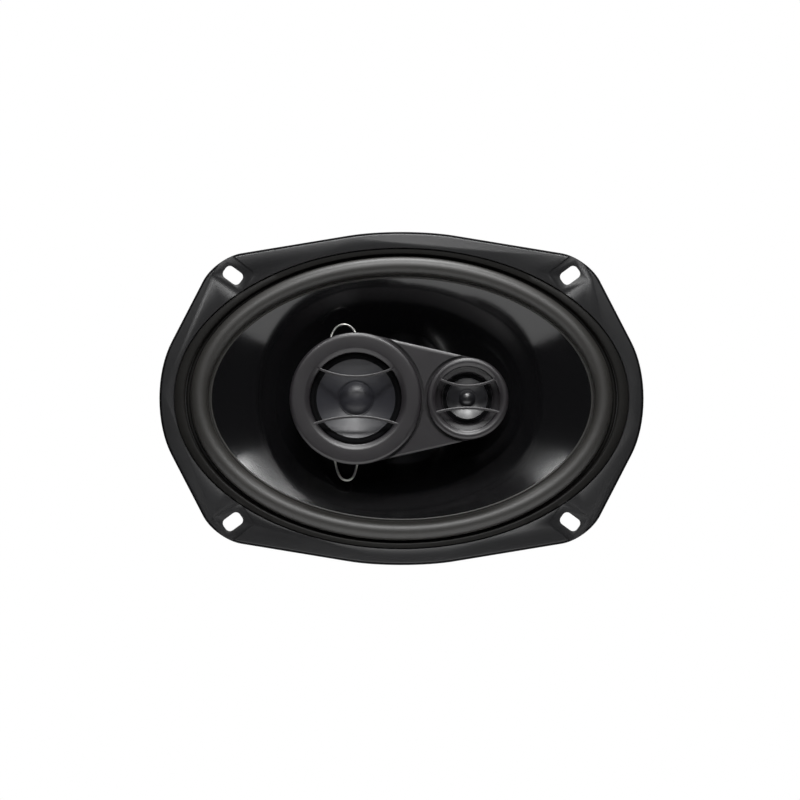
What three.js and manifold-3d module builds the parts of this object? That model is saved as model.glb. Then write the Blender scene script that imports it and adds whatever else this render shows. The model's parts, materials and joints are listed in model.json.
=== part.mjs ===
// Three-way coaxial car speaker of the 6 x 9 inch pattern, as an assembly of separate pieces.
// Millimetres. The speaker is modelled lying in its own frame: x to the right, y up, z forward,
// with z = 0 on the rear face of its mounting flange. The outer group then turns it upright,
// so that its front looks along -Y and its origin is where its axis meets the panel.

import * as THREE from 'three';
import { mergeVertices } from 'three/addons/utils/BufferGeometryUtils.js';
import Module from 'manifold-3d';

const wasm = await Module();
wasm.setup();

// ---- driving dimensions -------------------------------------------------------------------

const FIT = 0.3; // glue line or fitting gap between two pieces
const FINE_FIT = 0.15; // gap in the small wound and riveted parts
const LARGE_SIDES = 40; // facets of the woofer's rings
const MEDIUM_SIDES = 24; // facets of the motor and the midrange
const SMALL_SIDES = 16; // facets of the tweeter and the posts
const TINY_SIDES = 8; // facets of rivets and bores
const POD_STEPS = 7; // half the facets of each round end of the pod

// Mounting flange: corner points of its eight-sided outline and the radius at each corner.
const FLANGE_FRONT = 3.2;
const LEDGE = 0.8; // front of the ledge that carries the surround
const SIDE_CORNER = { x: 126.2, radius: 68 };
const SHOULDER_CORNER = { x: 91.2, y: 69, radius: 27 };
const TOP_CORNER = { y: 83.5, radius: 160 };
const RECESS = { a: 111.4, b: 73.7 }; // step between the flange's front and the ledge
const SLOT = { x: 82.55, y: 60.325, length: 10, width: 6.6, corner: 2.4 }; // 165.1 x 120.65
const SLOT_PAD = { length: 17, width: 15, corner: 2.5, depth: 0.8 };

// Basket below the flange. Radii are the mean of the oval's two half-axes.
const WALL_TOP = 90.1; // outer radius where the wall meets the flange
const WALL = 1.45;
const SHELF_Z = -41; // landing of the spider
const BASE_Z = -52.1; // rear face of the basket
const ROUND_BELOW = 54; // the basket is round up to this radius
const BASKET_STRETCH = 17.6; // half the difference of the half-axes at the flange
const WINDOW = { top: -10, bottom: -36 };
const LEG = { width: 17, angles: [28, 90, 152, 208, 270, 332] };

// Woofer cone, surround and suspension.
const CONE_LIP = { inner: 75.85, outer: 77.2, z: 0.4 };
const CONE_NECK = { radius: 19.2, z: -33 };
const CONE_WALL = 0.8;
const CONE_FLARE = 0.8; // exponent of the wall's curve, 1 for a straight cone
const CONE_STRETCH = 17;
const ROLL = { inner: 77.4, outer: 86.45, height: 4.2 };
const LIP = { inner: 88.9, outer: 92.2, z: 2.3 };
const SKIN = 0.6; // thickness of the surround
const LIP_STRETCH = 18.85; // at the outer edge of the surround's flat lip
const SPIDER = { inner: 19.2, roll: 24, shelf: 47.2, outer: 51.5, wall: 0.5, wave: 1.1, waves: 3 };

// Woofer motor.
const FORMER = { inner: 18.5, outer: 18.9, rear: -60, front: -31 };
const WINDING = { outer: 19.65, rear: -59.8, front: -49.4 };
const TOP_PLATE = { bore: 20.4, outer: 44.5, thick: 6 };
const MAGNET = { bore: 26, outer: 48, thick: 18 };
const YOKE = { outer: 44.5, thick: 6, pole: 18, bore: 4.8 };
const NUT_POCKET = { radius: 8.6, depth: 6.6 };
const POST = { outer: 6, bore: 2.6, spigot: 4.4, front: -1 };
const NUT = { acrossFlats: 13, thick: 4.6 };
const PLATE_RIVET = { circle: 33, head: 3, headThick: 1, shank: 1.7, hole: 2, depth: 4.5 };
const DUST_RING = { inner: 7.6, outer: 18.2, thick: 1.2, rise: 2.6 };

// Pod: the housing in front of the cone that carries the midrange and the tweeter.
const MID_X = -22.2;
const TWEETER_X = 32;
const POD = { midRadius: 32, tweeterRadius: 19.8, front: 13, plate: 2.8, rings: 16 };
const TUB = { inset: 0.8, wall: 1.6, floor: 2, front: 9.9 };
const MID_CUP = { radius: 18.5, bore: 16.6, rear: -13, floor: -11 };
const TWEETER_CUP = { radius: 15.6, bore: 13.9, rear: -5.2, floor: -3.4 };
const BOSS = { radius: 8, rear: -13 };
const BAR = { width: 1.3, rear: 13.9, front: 15.4 };

const MID_OPENING = 22.2;
const MID_BEVEL = 2;
const MID_BARS = [
  { middle: 10.6, bend: 42, reach: 21.2 },
  { middle: -8.8, bend: -60, reach: 20.8 },
];
const TWEETER_OPENING = 15.4;
const TWEETER_BEVEL = 1.7;
const TWEETER_BARS = [
  { middle: 6.1, bend: 28.5, reach: 14.8 },
  { middle: -4.6, bend: -56, reach: 15.2 },
];

const CAPACITOR = { x: 11.6, z: 6.2, radius: 3.3, length: 12, gap: 3 };
const LEAD_RADIUS = 0.6;
const FEED_RADIUS = 0.7;
const TINSEL_RADIUS = 0.55;

// Terminal board on the upper leg.
const BOARD = { width: 26, length: 17, thick: 1.6, y: 64.58, z: -26, tilt: 29.6 };
const BLADES = [
  { name: 'positive_terminal', x: 7, width: 6.3 },
  { name: 'negative_terminal', x: -7, width: 4.8 },
];
const BLADE = { thick: 0.8, foot: 7.5, tip: 17.5, jog: 0.5 }; // lengths from the board's rivets
const BOARD_RIVET = { head: 2.2, headThick: 0.8, shank: 1.25, hole: 1.5 };

const FINISH = {
  paintedSteel: { color: 0x2b2b2c, roughness: 0.55, metalness: 0.2 },
  rubber: { color: 0x35342f, roughness: 0.75, metalness: 0 },
  glossCone: { color: 0x0b0b0c, roughness: 0.2, metalness: 0 },
  spiderCloth: { color: 0xb08a4a, roughness: 0.9, metalness: 0 },
  former: { color: 0x9b6a2c, roughness: 0.4, metalness: 0 },
  copper: { color: 0xa8582c, roughness: 0.35, metalness: 1 },
  felt: { color: 0x1b1b1b, roughness: 1, metalness: 0 },
  platedSteel: { color: 0xa9a9ad, roughness: 0.35, metalness: 1 },
  ferrite: { color: 0x3a3a3d, roughness: 0.6, metalness: 0.2 },
  podPlastic: { color: 0x302e30, roughness: 0.5, metalness: 0 },
  paperCone: { color: 0x3a3a3b, roughness: 0.7, metalness: 0 },
  domeFilm: { color: 0x1a1a1c, roughness: 0.2, metalness: 0 },
  fibreBoard: { color: 0x6b4a2a, roughness: 0.8, metalness: 0 },
  tinnedBrass: { color: 0xc9c2a6, roughness: 0.3, metalness: 1 },
  wire: { color: 0x9d9d9a, roughness: 0.4, metalness: 0.8 },
  insulation: { color: 0x16161a, roughness: 0.5, metalness: 0 },
  sleeve: { color: 0x23406b, roughness: 0.4, metalness: 0 },
};

// ---- geometry helpers ---------------------------------------------------------------------

// A closed body revolved about z from points [radius, z], in either order.
function revolve(points, sides, x = 0) {
  const profile = points.map(([radius, z]) => new THREE.Vector2(radius, z));
  if (profile[0].x > 0) {
    profile.push(profile[0].clone());
  }
  if (THREE.ShapeUtils.area(profile) < 0) {
    profile.reverse();
  }
  const geometry = new THREE.LatheGeometry(profile, sides);
  geometry.rotateX(Math.PI / 2);
  geometry.translate(x, 0, 0);
  return geometry;
}

function ringProfile(inner, outer, rear, front) {
  return [[inner, rear], [outer, rear], [outer, front], [inner, front]];
}

// Stretches a round body into an oval one: a point at radius r moves to half-axes r + e and
// r - e, where e comes from stretch(r).
function makeOval(geometry, stretch) {
  const position = geometry.attributes.position;
  for (let i = 0; i < position.count; i++) {
    const x = position.getX(i);
    const y = position.getY(i);
    const radius = Math.hypot(x, y);
    if (radius > 0) {
      const change = stretch(radius) / radius;
      position.setXY(i, x * (1 + change), y * (1 - change));
    }
  }
  return geometry;
}

const ramp = (value, low, high) => THREE.MathUtils.clamp((value - low) / (high - low), 0, 1);

function basketStretch(radius) {
  return BASKET_STRETCH * ramp(radius, ROUND_BELOW, WALL_TOP);
}

function coneStretch(radius) {
  const rise = CONE_STRETCH * ramp(radius, CONE_NECK.radius, CONE_LIP.inner);
  return rise + (LIP_STRETCH - CONE_STRETCH) * ramp(radius, ROLL.outer, LIP.outer);
}

function extrude(shape, rear, front, curveSegments = 8) {
  const options = { depth: front - rear, bevelEnabled: false, curveSegments };
  return new THREE.ExtrudeGeometry(shape, options).translate(0, 0, rear);
}

function cylinder(radius, rear, front, x = 0, y = 0, sides = MEDIUM_SIDES) {
  const geometry = new THREE.CylinderGeometry(radius, radius, front - rear, sides);
  return geometry.rotateX(Math.PI / 2).translate(x, y, (front + rear) / 2);
}

// A polygon whose corners are rounded, each with its own radius.
function roundedShape(corners) {
  const shape = new THREE.Shape();
  corners.forEach((corner, i) => {
    const here = new THREE.Vector2(corner.x, corner.y);
    const before = corners[(i + corners.length - 1) % corners.length];
    const after = corners[(i + 1) % corners.length];
    const back = new THREE.Vector2(before.x, before.y).sub(here).normalize();
    const ahead = new THREE.Vector2(after.x, after.y).sub(here).normalize();
    const half = Math.acos(back.dot(ahead)) / 2;
    const inward = back.clone().add(ahead).normalize();
    const centre = inward.multiplyScalar(corner.radius / Math.sin(half)).add(here);
    const reach = corner.radius / Math.tan(half);
    const start = back.multiplyScalar(reach).add(here).sub(centre);
    const end = ahead.multiplyScalar(reach).add(here).sub(centre);
    shape.absarc(centre.x, centre.y, corner.radius, start.angle(), end.angle(), false);
  });
  return shape;
}

function roundedRectangle(length, width, radius) {
  const x = length / 2;
  const y = width / 2;
  const corners = [[x, -y], [x, y], [-x, y], [-x, -y]];
  return roundedShape(corners.map((corner) => ({ x: corner[0], y: corner[1], radius })));
}

// A round wire along a smooth curve through the given points.
function wire(points, radius, steps, sides = 8) {
  const path = new THREE.CatmullRomCurve3(points.map((point) => new THREE.Vector3(...point)));
  const section = new THREE.Shape();
  section.absarc(0, 0, radius, 0, 2 * Math.PI, false);
  const options = { steps, extrudePath: path, curveSegments: sides / 2, bevelEnabled: false };
  return new THREE.ExtrudeGeometry(section, options);
}

// ---- solids: joining and cutting ------------------------------------------------------------

function withoutSlivers(index) {
  const kept = [];
  for (let i = 0; i < index.length; i += 3) {
    const [a, b, c] = index.slice(i, i + 3);
    if (a !== b && b !== c && c !== a) {
      kept.push(a, b, c);
    }
  }
  return kept;
}

function solid(geometry) {
  const bare = new THREE.BufferGeometry();
  bare.setAttribute('position', geometry.attributes.position.clone());
  bare.setIndex(geometry.index);
  const merged = mergeVertices(bare, 1e-4);
  return new wasm.Manifold(new wasm.Mesh({
    numProp: 3,
    vertProperties: new Float32Array(merged.attributes.position.array),
    triVerts: new Uint32Array(withoutSlivers(Array.from(merged.index.array))),
  }));
}

function cut(body, ...tools) {
  return tools.reduce((rest, tool) => rest.subtract(solid(tool)), body);
}

function join(body, ...others) {
  return others.reduce((whole, other) => whole.add(solid(other)), body);
}

function geometryOf(body) {
  const result = body.getMesh();
  const geometry = new THREE.BufferGeometry();
  geometry.setAttribute('position', new THREE.BufferAttribute(result.vertProperties, 3));
  geometry.setIndex(new THREE.BufferAttribute(result.triVerts, 1));
  return geometry;
}

// ---- the assembly ---------------------------------------------------------------------------

const speaker = new THREE.Group();
speaker.rotation.x = Math.PI / 2;

function piece(name, shape, finish, parent = speaker) {
  const geometry = shape.getMesh ? geometryOf(shape) : shape;
  const mesh = new THREE.Mesh(geometry, new THREE.MeshStandardMaterial(FINISH[finish]));
  mesh.name = name;
  parent.add(mesh);
  return mesh;
}

// ---- basket ---------------------------------------------------------------------------------

function flangeOutline() {
  const { x, y, radius } = SHOULDER_CORNER;
  return roundedShape([
    { x: SIDE_CORNER.x, y: 0, radius: SIDE_CORNER.radius },
    { x, y, radius },
    { x: 0, y: TOP_CORNER.y, radius: TOP_CORNER.radius },
    { x: -x, y, radius },
    { x: -SIDE_CORNER.x, y: 0, radius: SIDE_CORNER.radius },
    { x: -x, y: -y, radius },
    { x: 0, y: -TOP_CORNER.y, radius: TOP_CORNER.radius },
    { x, y: -y, radius },
  ]);
}

// The four screw slots point at the speaker's axis, each in a shallow pressed pad.
function slotTools() {
  const slot = roundedRectangle(SLOT.length, SLOT.width, SLOT.corner);
  const pad = roundedRectangle(SLOT_PAD.length, SLOT_PAD.width, SLOT_PAD.corner);
  const tools = [];
  for (const [sideX, sideY] of [[1, 1], [-1, 1], [-1, -1], [1, -1]]) {
    const x = sideX * SLOT.x;
    const y = sideY * SLOT.y;
    const turn = Math.atan2(y, x);
    const hole = extrude(slot, -1, FLANGE_FRONT + 1, 1);
    const recess = extrude(pad, FLANGE_FRONT - SLOT_PAD.depth, FLANGE_FRONT + 1, 1);
    tools.push(hole.rotateZ(turn).translate(x, y, 0));
    tools.push(recess.rotateZ(turn).translate(x, y, 0));
  }
  return tools;
}

// Everything between the legs, from just below the flange to just above the spider's shelf.
function windowTool() {
  const ring = revolve(ringProfile(50, 130, WINDOW.bottom, WINDOW.top), LARGE_SIDES);
  const legs = LEG.angles.map((angle) => {
    const beam = new THREE.BoxGeometry(140, LEG.width, WINDOW.top - WINDOW.bottom + 2);
    beam.translate(70, 0, (WINDOW.top + WINDOW.bottom) / 2);
    return beam.rotateZ(THREE.MathUtils.degToRad(angle));
  });
  return geometryOf(cut(solid(ring), ...legs));
}

function basketWall() {
  const outer = [[WALL_TOP, LEDGE], [WALL_TOP, 0], [88, -10], [81.3, -20], [68, -32], [56.5, -39.5]];
  const floorFront = BASE_Z + WALL;
  const profile = [
    ...outer,
    [54, SHELF_Z - WALL],
    [47.4, SHELF_Z - WALL],
    [46.4, BASE_Z],
    [24, BASE_Z],
    [24, floorFront],
    [45, floorFront],
    [46, SHELF_Z],
    [52.8, SHELF_Z],
    [55.3, -38.6],
    [66.8, -31],
    [80, -19],
    [86.6, -9.4],
    [WALL_TOP - WALL, 0],
    [WALL_TOP - WALL, LEDGE],
  ];
  return makeOval(revolve(profile, LARGE_SIDES), basketStretch);
}

function rivetPlace(i) {
  const angle = Math.PI / 4 + (i * Math.PI) / 2;
  return [PLATE_RIVET.circle * Math.cos(angle), PLATE_RIVET.circle * Math.sin(angle)];
}

function basketFrame() {
  const opening = revolve(ringProfile(0, WALL_TOP - WALL, -1, FLANGE_FRONT + 1), LARGE_SIDES);
  const recess = new THREE.Shape();
  recess.absellipse(0, 0, RECESS.a, RECESS.b, 0, 2 * Math.PI, false, 0);
  const recessTool = extrude(recess, LEDGE, FLANGE_FRONT + 1, LARGE_SIDES / 2);
  const rivetHoles = [0, 1, 2, 3].map((i) => {
    return cylinder(PLATE_RIVET.hole, BASE_Z - 1, SHELF_Z - 5, ...rivetPlace(i), TINY_SIDES);
  });
  const legRivet = boardFrame(cylinder(BOARD_RIVET.hole, -6, 2, 0, 0, TINY_SIDES));
  const slab = solid(extrude(flangeOutline(), 0, FLANGE_FRONT, 3));
  const rim = cut(slab, makeOval(opening, basketStretch), recessTool, ...slotTools());
  const wall = cut(solid(basketWall()), windowTool(), ...rivetHoles, legRivet);
  return rim.add(wall);
}

// ---- woofer: moving parts and suspension ------------------------------------------------------

function coneZ(radius) {
  const share = ramp(radius, CONE_NECK.radius, CONE_LIP.inner);
  return CONE_NECK.z + (CONE_LIP.z - CONE_NECK.z) * share ** CONE_FLARE;
}

function wooferCone() {
  const steps = 4;
  const front = [];
  for (let i = 0; i <= steps; i++) {
    const radius = THREE.MathUtils.lerp(CONE_NECK.radius, CONE_LIP.inner, i / steps);
    front.push([radius, coneZ(radius)]);
  }
  front.push([CONE_LIP.outer, CONE_LIP.z]);
  const back = front.map(([radius, z]) => [radius, z - CONE_WALL]).reverse();
  return makeOval(revolve([...front, ...back], LARGE_SIDES), coneStretch);
}

// Flat outer lip, groove, half roll and inner flat, offset downwards by the skin.
function wooferSurround() {
  const foot = CONE_LIP.z + FIT + SKIN;
  const middle = (ROLL.inner + ROLL.outer) / 2;
  const half = (ROLL.outer - ROLL.inner) / 2;
  const front = [[CONE_LIP.inner, foot]];
  const steps = 4;
  for (let i = 0; i <= steps; i++) {
    const angle = Math.PI * (1 - i / steps);
    front.push([middle + half * Math.cos(angle), foot + ROLL.height * Math.sin(angle)]);
  }
  front.push([LIP.inner - 0.9, foot], [LIP.inner, LIP.z], [LIP.outer, LIP.z]);
  const back = [[LIP.outer, LEDGE + FIT], [LIP.inner - 0.5, LEDGE + FIT]];
  back.push([ROLL.outer - SKIN, foot - SKIN]);
  for (let i = 1; i < steps; i++) {
    const angle = (Math.PI * i) / steps;
    const radius = middle + (half - SKIN) * Math.cos(angle);
    back.push([radius, foot - SKIN + ROLL.height * Math.sin(angle)]);
  }
  back.push([ROLL.inner + SKIN, foot - SKIN], [CONE_LIP.inner, foot - SKIN]);
  return makeOval(revolve([...front, ...back], LARGE_SIDES), coneStretch);
}

// A corrugated disc: waves between the inner collar and the flat lip on the shelf.
function spider() {
  const rest = SHELF_Z + FIT + SPIDER.wall;
  const turns = SPIDER.waves * 2;
  const front = [[SPIDER.inner, rest], [SPIDER.roll, rest]];
  for (let i = 1; i < turns; i++) {
    const radius = THREE.MathUtils.lerp(SPIDER.roll, SPIDER.shelf, i / turns);
    front.push([radius, rest + (i % 2 ? SPIDER.wave : 0)]);
  }
  front.push([SPIDER.shelf, rest], [SPIDER.outer, rest]);
  const back = front.map(([radius, z]) => [radius, z - SPIDER.wall]).reverse();
  return revolve([...front, ...back], MEDIUM_SIDES);
}

function dustRing() {
  const rear = FORMER.front - 2;
  const { inner, outer, thick, rise } = DUST_RING;
  const profile = [
    [inner, rear + rise], [inner + 3, rear + rise], [outer, rear],
    [outer, rear + thick], [inner + 3, rear + rise + thick], [inner, rear + rise + thick],
  ];
  return revolve(profile, MEDIUM_SIDES);
}

function wooferMovingParts() {
  piece('woofer_cone', wooferCone(), 'glossCone');
  piece('woofer_surround', wooferSurround(), 'rubber');
  piece('spider', spider(), 'spiderCloth');
  const former = ringProfile(FORMER.inner, FORMER.outer, FORMER.rear, FORMER.front);
  piece('voice_coil_former', revolve(former, MEDIUM_SIDES), 'former');
  const inner = FORMER.outer + FINE_FIT;
  const winding = ringProfile(inner, WINDING.outer, WINDING.rear, WINDING.front);
  piece('voice_coil_winding', revolve(winding, MEDIUM_SIDES), 'copper');
  piece('dust_ring', dustRing(), 'felt');
}

// ---- woofer motor -----------------------------------------------------------------------------

function topPlate(front, rear) {
  const plate = solid(revolve(ringProfile(TOP_PLATE.bore, TOP_PLATE.outer, rear, front), MEDIUM_SIDES));
  const holes = [0, 1, 2, 3].map((i) => {
    const bottom = front - PLATE_RIVET.depth - FIT;
    return cylinder(PLATE_RIVET.hole, bottom, front + 1, ...rivetPlace(i), TINY_SIDES);
  });
  return cut(plate, ...holes);
}

function plateRivet(i) {
  const seat = BASE_Z + WALL + FIT;
  const { head, headThick, shank, depth } = PLATE_RIVET;
  const profile = [
    [0, BASE_Z - FIT - depth], [shank, BASE_Z - FIT - depth], [shank, seat],
    [head, seat], [head * 0.7, seat + headThick], [0, seat + headThick],
  ];
  const [x, y] = rivetPlace(i);
  return revolve(profile, TINY_SIDES).translate(x, y, 0);
}

function yoke(front, poleFront) {
  const rear = front - YOKE.thick;
  const pocket = rear + NUT_POCKET.depth;
  const profile = [
    [NUT_POCKET.radius, rear], [YOKE.outer - 1, rear], [YOKE.outer, rear + 1],
    [YOKE.outer, front], [YOKE.pole, front], [YOKE.pole, poleFront],
    [YOKE.bore, poleFront], [YOKE.bore, pocket], [NUT_POCKET.radius, pocket],
  ];
  return revolve(profile, MEDIUM_SIDES);
}

// The hollow post stands on the pole. Its lower spigot runs through the pole to the nut, and
// its upper spigot enters the pod's boss.
function centrePost(poleFront, nutRear) {
  const seat = poleFront + FIT;
  const shoulder = BOSS.rear - FIT;
  const profile = [
    [POST.bore, nutRear], [POST.spigot, nutRear], [POST.spigot, seat], [POST.outer, seat],
    [POST.outer, shoulder], [POST.spigot, shoulder], [POST.spigot, POST.front],
    [POST.bore, POST.front],
  ];
  return revolve(profile, SMALL_SIDES);
}

function postNut(rear) {
  const corner = NUT.acrossFlats / 2 / Math.cos(Math.PI / 6);
  const hexagon = new THREE.CylinderGeometry(corner, corner, NUT.thick, 6).rotateX(Math.PI / 2);
  hexagon.translate(0, 0, rear + NUT.thick / 2);
  const bore = cylinder(POST.spigot + FINE_FIT, rear - 1, rear + NUT.thick + 1, 0, 0, SMALL_SIDES);
  return cut(solid(hexagon), bore);
}

function wooferMotor() {
  const plateFront = BASE_Z - FIT;
  const plateRear = plateFront - TOP_PLATE.thick;
  const magnetFront = plateRear - FIT;
  const magnetRear = magnetFront - MAGNET.thick;
  const yokeFront = magnetRear - FIT;
  const nutRear = yokeFront - YOKE.thick + 1.5;
  piece('top_plate', topPlate(plateFront, plateRear), 'platedSteel');
  const magnet = ringProfile(MAGNET.bore, MAGNET.outer, magnetRear, magnetFront);
  piece('magnet', revolve(magnet, MEDIUM_SIDES), 'ferrite');
  piece('t_yoke', yoke(yokeFront, plateFront), 'platedSteel');
  piece('centre_post', centrePost(plateFront, nutRear), 'platedSteel');
  piece('post_nut', postNut(nutRear), 'platedSteel');
  for (let i = 0; i < 4; i++) {
    piece(`top_plate_rivet_${i + 1}`, plateRivet(i), 'platedSteel');
  }
}

// ---- terminals and wiring -----------------------------------------------------------------------

// The board's own frame: x across, y down the leg, z away from it, with z = 0 on the leg.
function boardFrame(geometry) {
  const lean = THREE.MathUtils.degToRad(90 + BOARD.tilt);
  return geometry.rotateX(-lean).translate(0, BOARD.y, BOARD.z);
}

function rivetProfile(seat, tail) {
  const { head, headThick, shank } = BOARD_RIVET;
  return [
    [0, tail], [shank, tail], [shank, seat],
    [head, seat], [head * 0.7, seat + headThick], [0, seat + headThick],
  ];
}

function terminals() {
  const top = FIT + BOARD.thick;
  const board = new THREE.BoxGeometry(BOARD.width, BOARD.length, BOARD.thick);
  board.translate(0, 0, FIT + BOARD.thick / 2);
  const holes = [0, ...BLADES.map((blade) => blade.x)].map((x) => {
    return cylinder(BOARD_RIVET.hole, -1, top + 1, x, 0, TINY_SIDES);
  });
  piece('terminal_board', boardFrame(geometryOf(cut(solid(board), ...holes))), 'fibreBoard');
  const centre = revolve(rivetProfile(top + FINE_FIT, -3), TINY_SIDES);
  piece('board_rivet', boardFrame(centre), 'platedSteel');
  const seat = top + FIT;
  for (const { name, x, width } of BLADES) {
    const foot = new THREE.BoxGeometry(width, BLADE.foot, BLADE.thick);
    foot.translate(x, 0, seat + BLADE.thick / 2);
    const tipRear = BLADE.foot / 2 - BLADE.thick;
    const tip = new THREE.BoxGeometry(width, BLADE.tip - tipRear, BLADE.thick);
    tip.translate(x, (BLADE.tip + tipRear) / 2, seat + BLADE.jog + BLADE.thick / 2);
    const hole = cylinder(BOARD_RIVET.hole, seat - 1, seat + 2, x, 0, TINY_SIDES);
    const blade = cut(join(solid(foot), tip), hole);
    piece(name, boardFrame(geometryOf(blade)), 'tinnedBrass');
    const rivet = revolve(rivetProfile(seat + BLADE.thick + FINE_FIT, FIT), TINY_SIDES);
    piece(`${name}_rivet`, boardFrame(rivet.translate(x, 0, 0)), 'platedSteel');
  }
}

// Flexible leads from the terminals, through the windows beside the upper leg, to the cone.
function tinselLead(side) {
  const landing = 30;
  return wire([
    [side * 10.6, 66.6, -20.5],
    [side * 13.2, 66.2, -22.5],
    [side * 15.2, 60.5, -26.5],
    [side * 13.6, 51, -31],
    [side * 11, 40, -31],
    [side * 9.2, landing, coneZ(landing) - CONE_WALL - 3.6],
  ], TINSEL_RADIUS, 16);
}

// Insulated wires from the board, down the outside of the motor and up through the post.
function feedWire(side) {
  return wire([
    [side * 3, 61.8, -38.5],
    [side * 3, 58.2, -45],
    [side * 3, 51.6, -53],
    [side * 3, 50, -60],
    [side * 3, 49.6, -72],
    [side * 3, 48.6, -80],
    [side * 2.6, 43, -84.6],
    [side * 2, 30, -85],
    [side * 1.2, 10, -85],
    [side * 1, 2.4, -84.4],
    [side * 1, 0, -80],
    [side * 1, 0, -60],
    [side * 1, 0, -20],
    [side * 1, 0, -4],
    [side * 1, 0, -1],
    [1.6 + side * 0.6, side * 1.2, 2.4],
    [5.4, side * 1.8, 5.2],
  ], FEED_RADIUS, 30);
}

const WIRE_EXITS = {
  upper: [[-33.6, 25.4], [-22.9, 27.2]],
  lower: [[-31.8, -25.6], [-22, -27]],
};

// The midrange's two bare leads leave the housing's floor, bow past its edge and go back in.
function midrangeLead(exits, bow, depth) {
  const [start, end] = exits;
  const side = Math.sign(bow[1]);
  return wire([
    [...start, 3.2],
    [...start, -0.6],
    [start[0] - 0.8, start[1] + side * 5.4, -depth],
    [bow[0], bow[1], -depth],
    [end[0] + 0.3, end[1] + side * 5, -depth],
    [...end, -0.6],
    [...end, 3.2],
  ], LEAD_RADIUS, 18);
}

function wiring() {
  piece('tinsel_lead_positive', tinselLead(1), 'copper');
  piece('tinsel_lead_negative', tinselLead(-1), 'copper');
  piece('pod_feed_wire_positive', feedWire(1), 'insulation');
  piece('pod_feed_wire_negative', feedWire(-1), 'insulation');
  piece('midrange_lead_upper', midrangeLead(WIRE_EXITS.upper, [-28.6, 36.4], 2.6), 'wire');
  piece('midrange_lead_lower', midrangeLead(WIRE_EXITS.lower, [-26.8, -40.2], 3.4), 'wire');
}

// ---- pod housing ----------------------------------------------------------------------------------

// The outline around two circles on the x axis and their two common tangents.
function podOutline(inset) {
  const mid = POD.midRadius - inset;
  const tweeter = POD.tweeterRadius - inset;
  const angle = Math.acos((mid - tweeter) / (TWEETER_X - MID_X));
  const shape = new THREE.Shape();
  shape.absarc(TWEETER_X, 0, tweeter, -angle, angle, false);
  shape.absarc(MID_X, 0, mid, angle, 2 * Math.PI - angle, false);
  return shape;
}

function podHousing() {
  const shell = solid(extrude(podOutline(TUB.inset), 0, TUB.front, POD_STEPS));
  const whole = join(
    shell,
    cylinder(MID_CUP.radius, MID_CUP.rear, 1, MID_X, 0),
    cylinder(TWEETER_CUP.radius, TWEETER_CUP.rear, 1, TWEETER_X, 0),
    cylinder(BOSS.radius, BOSS.rear, 1, 0, 0, SMALL_SIDES),
  );
  const exits = [...WIRE_EXITS.upper, ...WIRE_EXITS.lower];
  return cut(
    whole,
    extrude(podOutline(TUB.inset + TUB.wall), TUB.floor, TUB.front + 1, POD_STEPS),
    cylinder(MID_CUP.bore, MID_CUP.floor, TUB.floor + 1, MID_X, 0),
    cylinder(TWEETER_CUP.bore, TWEETER_CUP.floor, TUB.floor + 1, TWEETER_X, 0),
    cylinder(POST.spigot + FIT, BOSS.rear - 1, TUB.floor + 1, 0, 0, SMALL_SIDES),
    ...exits.map(([x, y]) => cylinder(LEAD_RADIUS + FIT, -1, TUB.floor + 1, x, y, 8)),
  );
}

function podFaceplate() {
  const rear = POD.front - POD.plate;
  const plate = solid(extrude(podOutline(0), rear, POD.front, POD_STEPS));
  return cut(
    plate,
    cylinder(POD.midRadius - 2.1, rear - 1, POD.front + 1, MID_X, 0),
    cylinder(POD.tweeterRadius - 2.1, rear - 1, POD.front + 1, TWEETER_X, 0),
  );
}

// A guard bar bowed across the opening, as part of a ring about the centre of its bend.
function guardBar(bar) {
  const radius = Math.abs(bar.bend);
  const centreY = bar.middle + bar.bend;
  const half = Math.asin(bar.reach / radius);
  const middle = bar.bend > 0 ? -Math.PI / 2 : Math.PI / 2;
  const shape = new THREE.Shape();
  shape.absarc(0, centreY, radius + BAR.width / 2, middle - half, middle + half, false);
  shape.absarc(0, centreY, radius - BAR.width / 2, middle + half, middle - half, true);
  return extrude(shape, BAR.rear, BAR.front, 4);
}

function bezel(x, outer, opening, bevel, bars, sides) {
  const rear = POD.front - POD.plate;
  const spigot = outer - 2.4;
  const seat = POD.front + FIT;
  const profile = [
    [opening, rear], [spigot, rear], [spigot, seat], [outer, seat], [outer, POD.rings - 1.3],
    [outer - 1.2, POD.rings], [opening + bevel, POD.rings],
    [opening + bevel * 0.3, POD.rings - 1], [opening, POD.rings - 2.6],
  ];
  const ring = solid(revolve(profile, sides));
  return geometryOf(join(ring, ...bars.map(guardBar))).translate(x, 0, 0);
}

function capacitor(side) {
  const { x, z, radius, length, gap } = CAPACITOR;
  const can = new THREE.CylinderGeometry(radius, radius, length, 16);
  return can.translate(x, side * (gap + length) / 2, z);
}

function pod() {
  piece('pod_housing', podHousing(), 'podPlastic');
  piece('pod_faceplate', podFaceplate(), 'podPlastic');
  const mid = bezel(MID_X, POD.midRadius, MID_OPENING, MID_BEVEL, MID_BARS, MEDIUM_SIDES);
  piece('midrange_bezel', mid, 'podPlastic');
  const top = bezel(TWEETER_X, POD.tweeterRadius, TWEETER_OPENING, TWEETER_BEVEL, TWEETER_BARS, MEDIUM_SIDES);
  piece('tweeter_bezel', top, 'podPlastic');
  piece('midrange_capacitor', capacitor(1), 'sleeve');
  piece('tweeter_capacitor', capacitor(-1), 'sleeve');
}

// ---- the two small drivers ----------------------------------------------------------------------------

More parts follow.
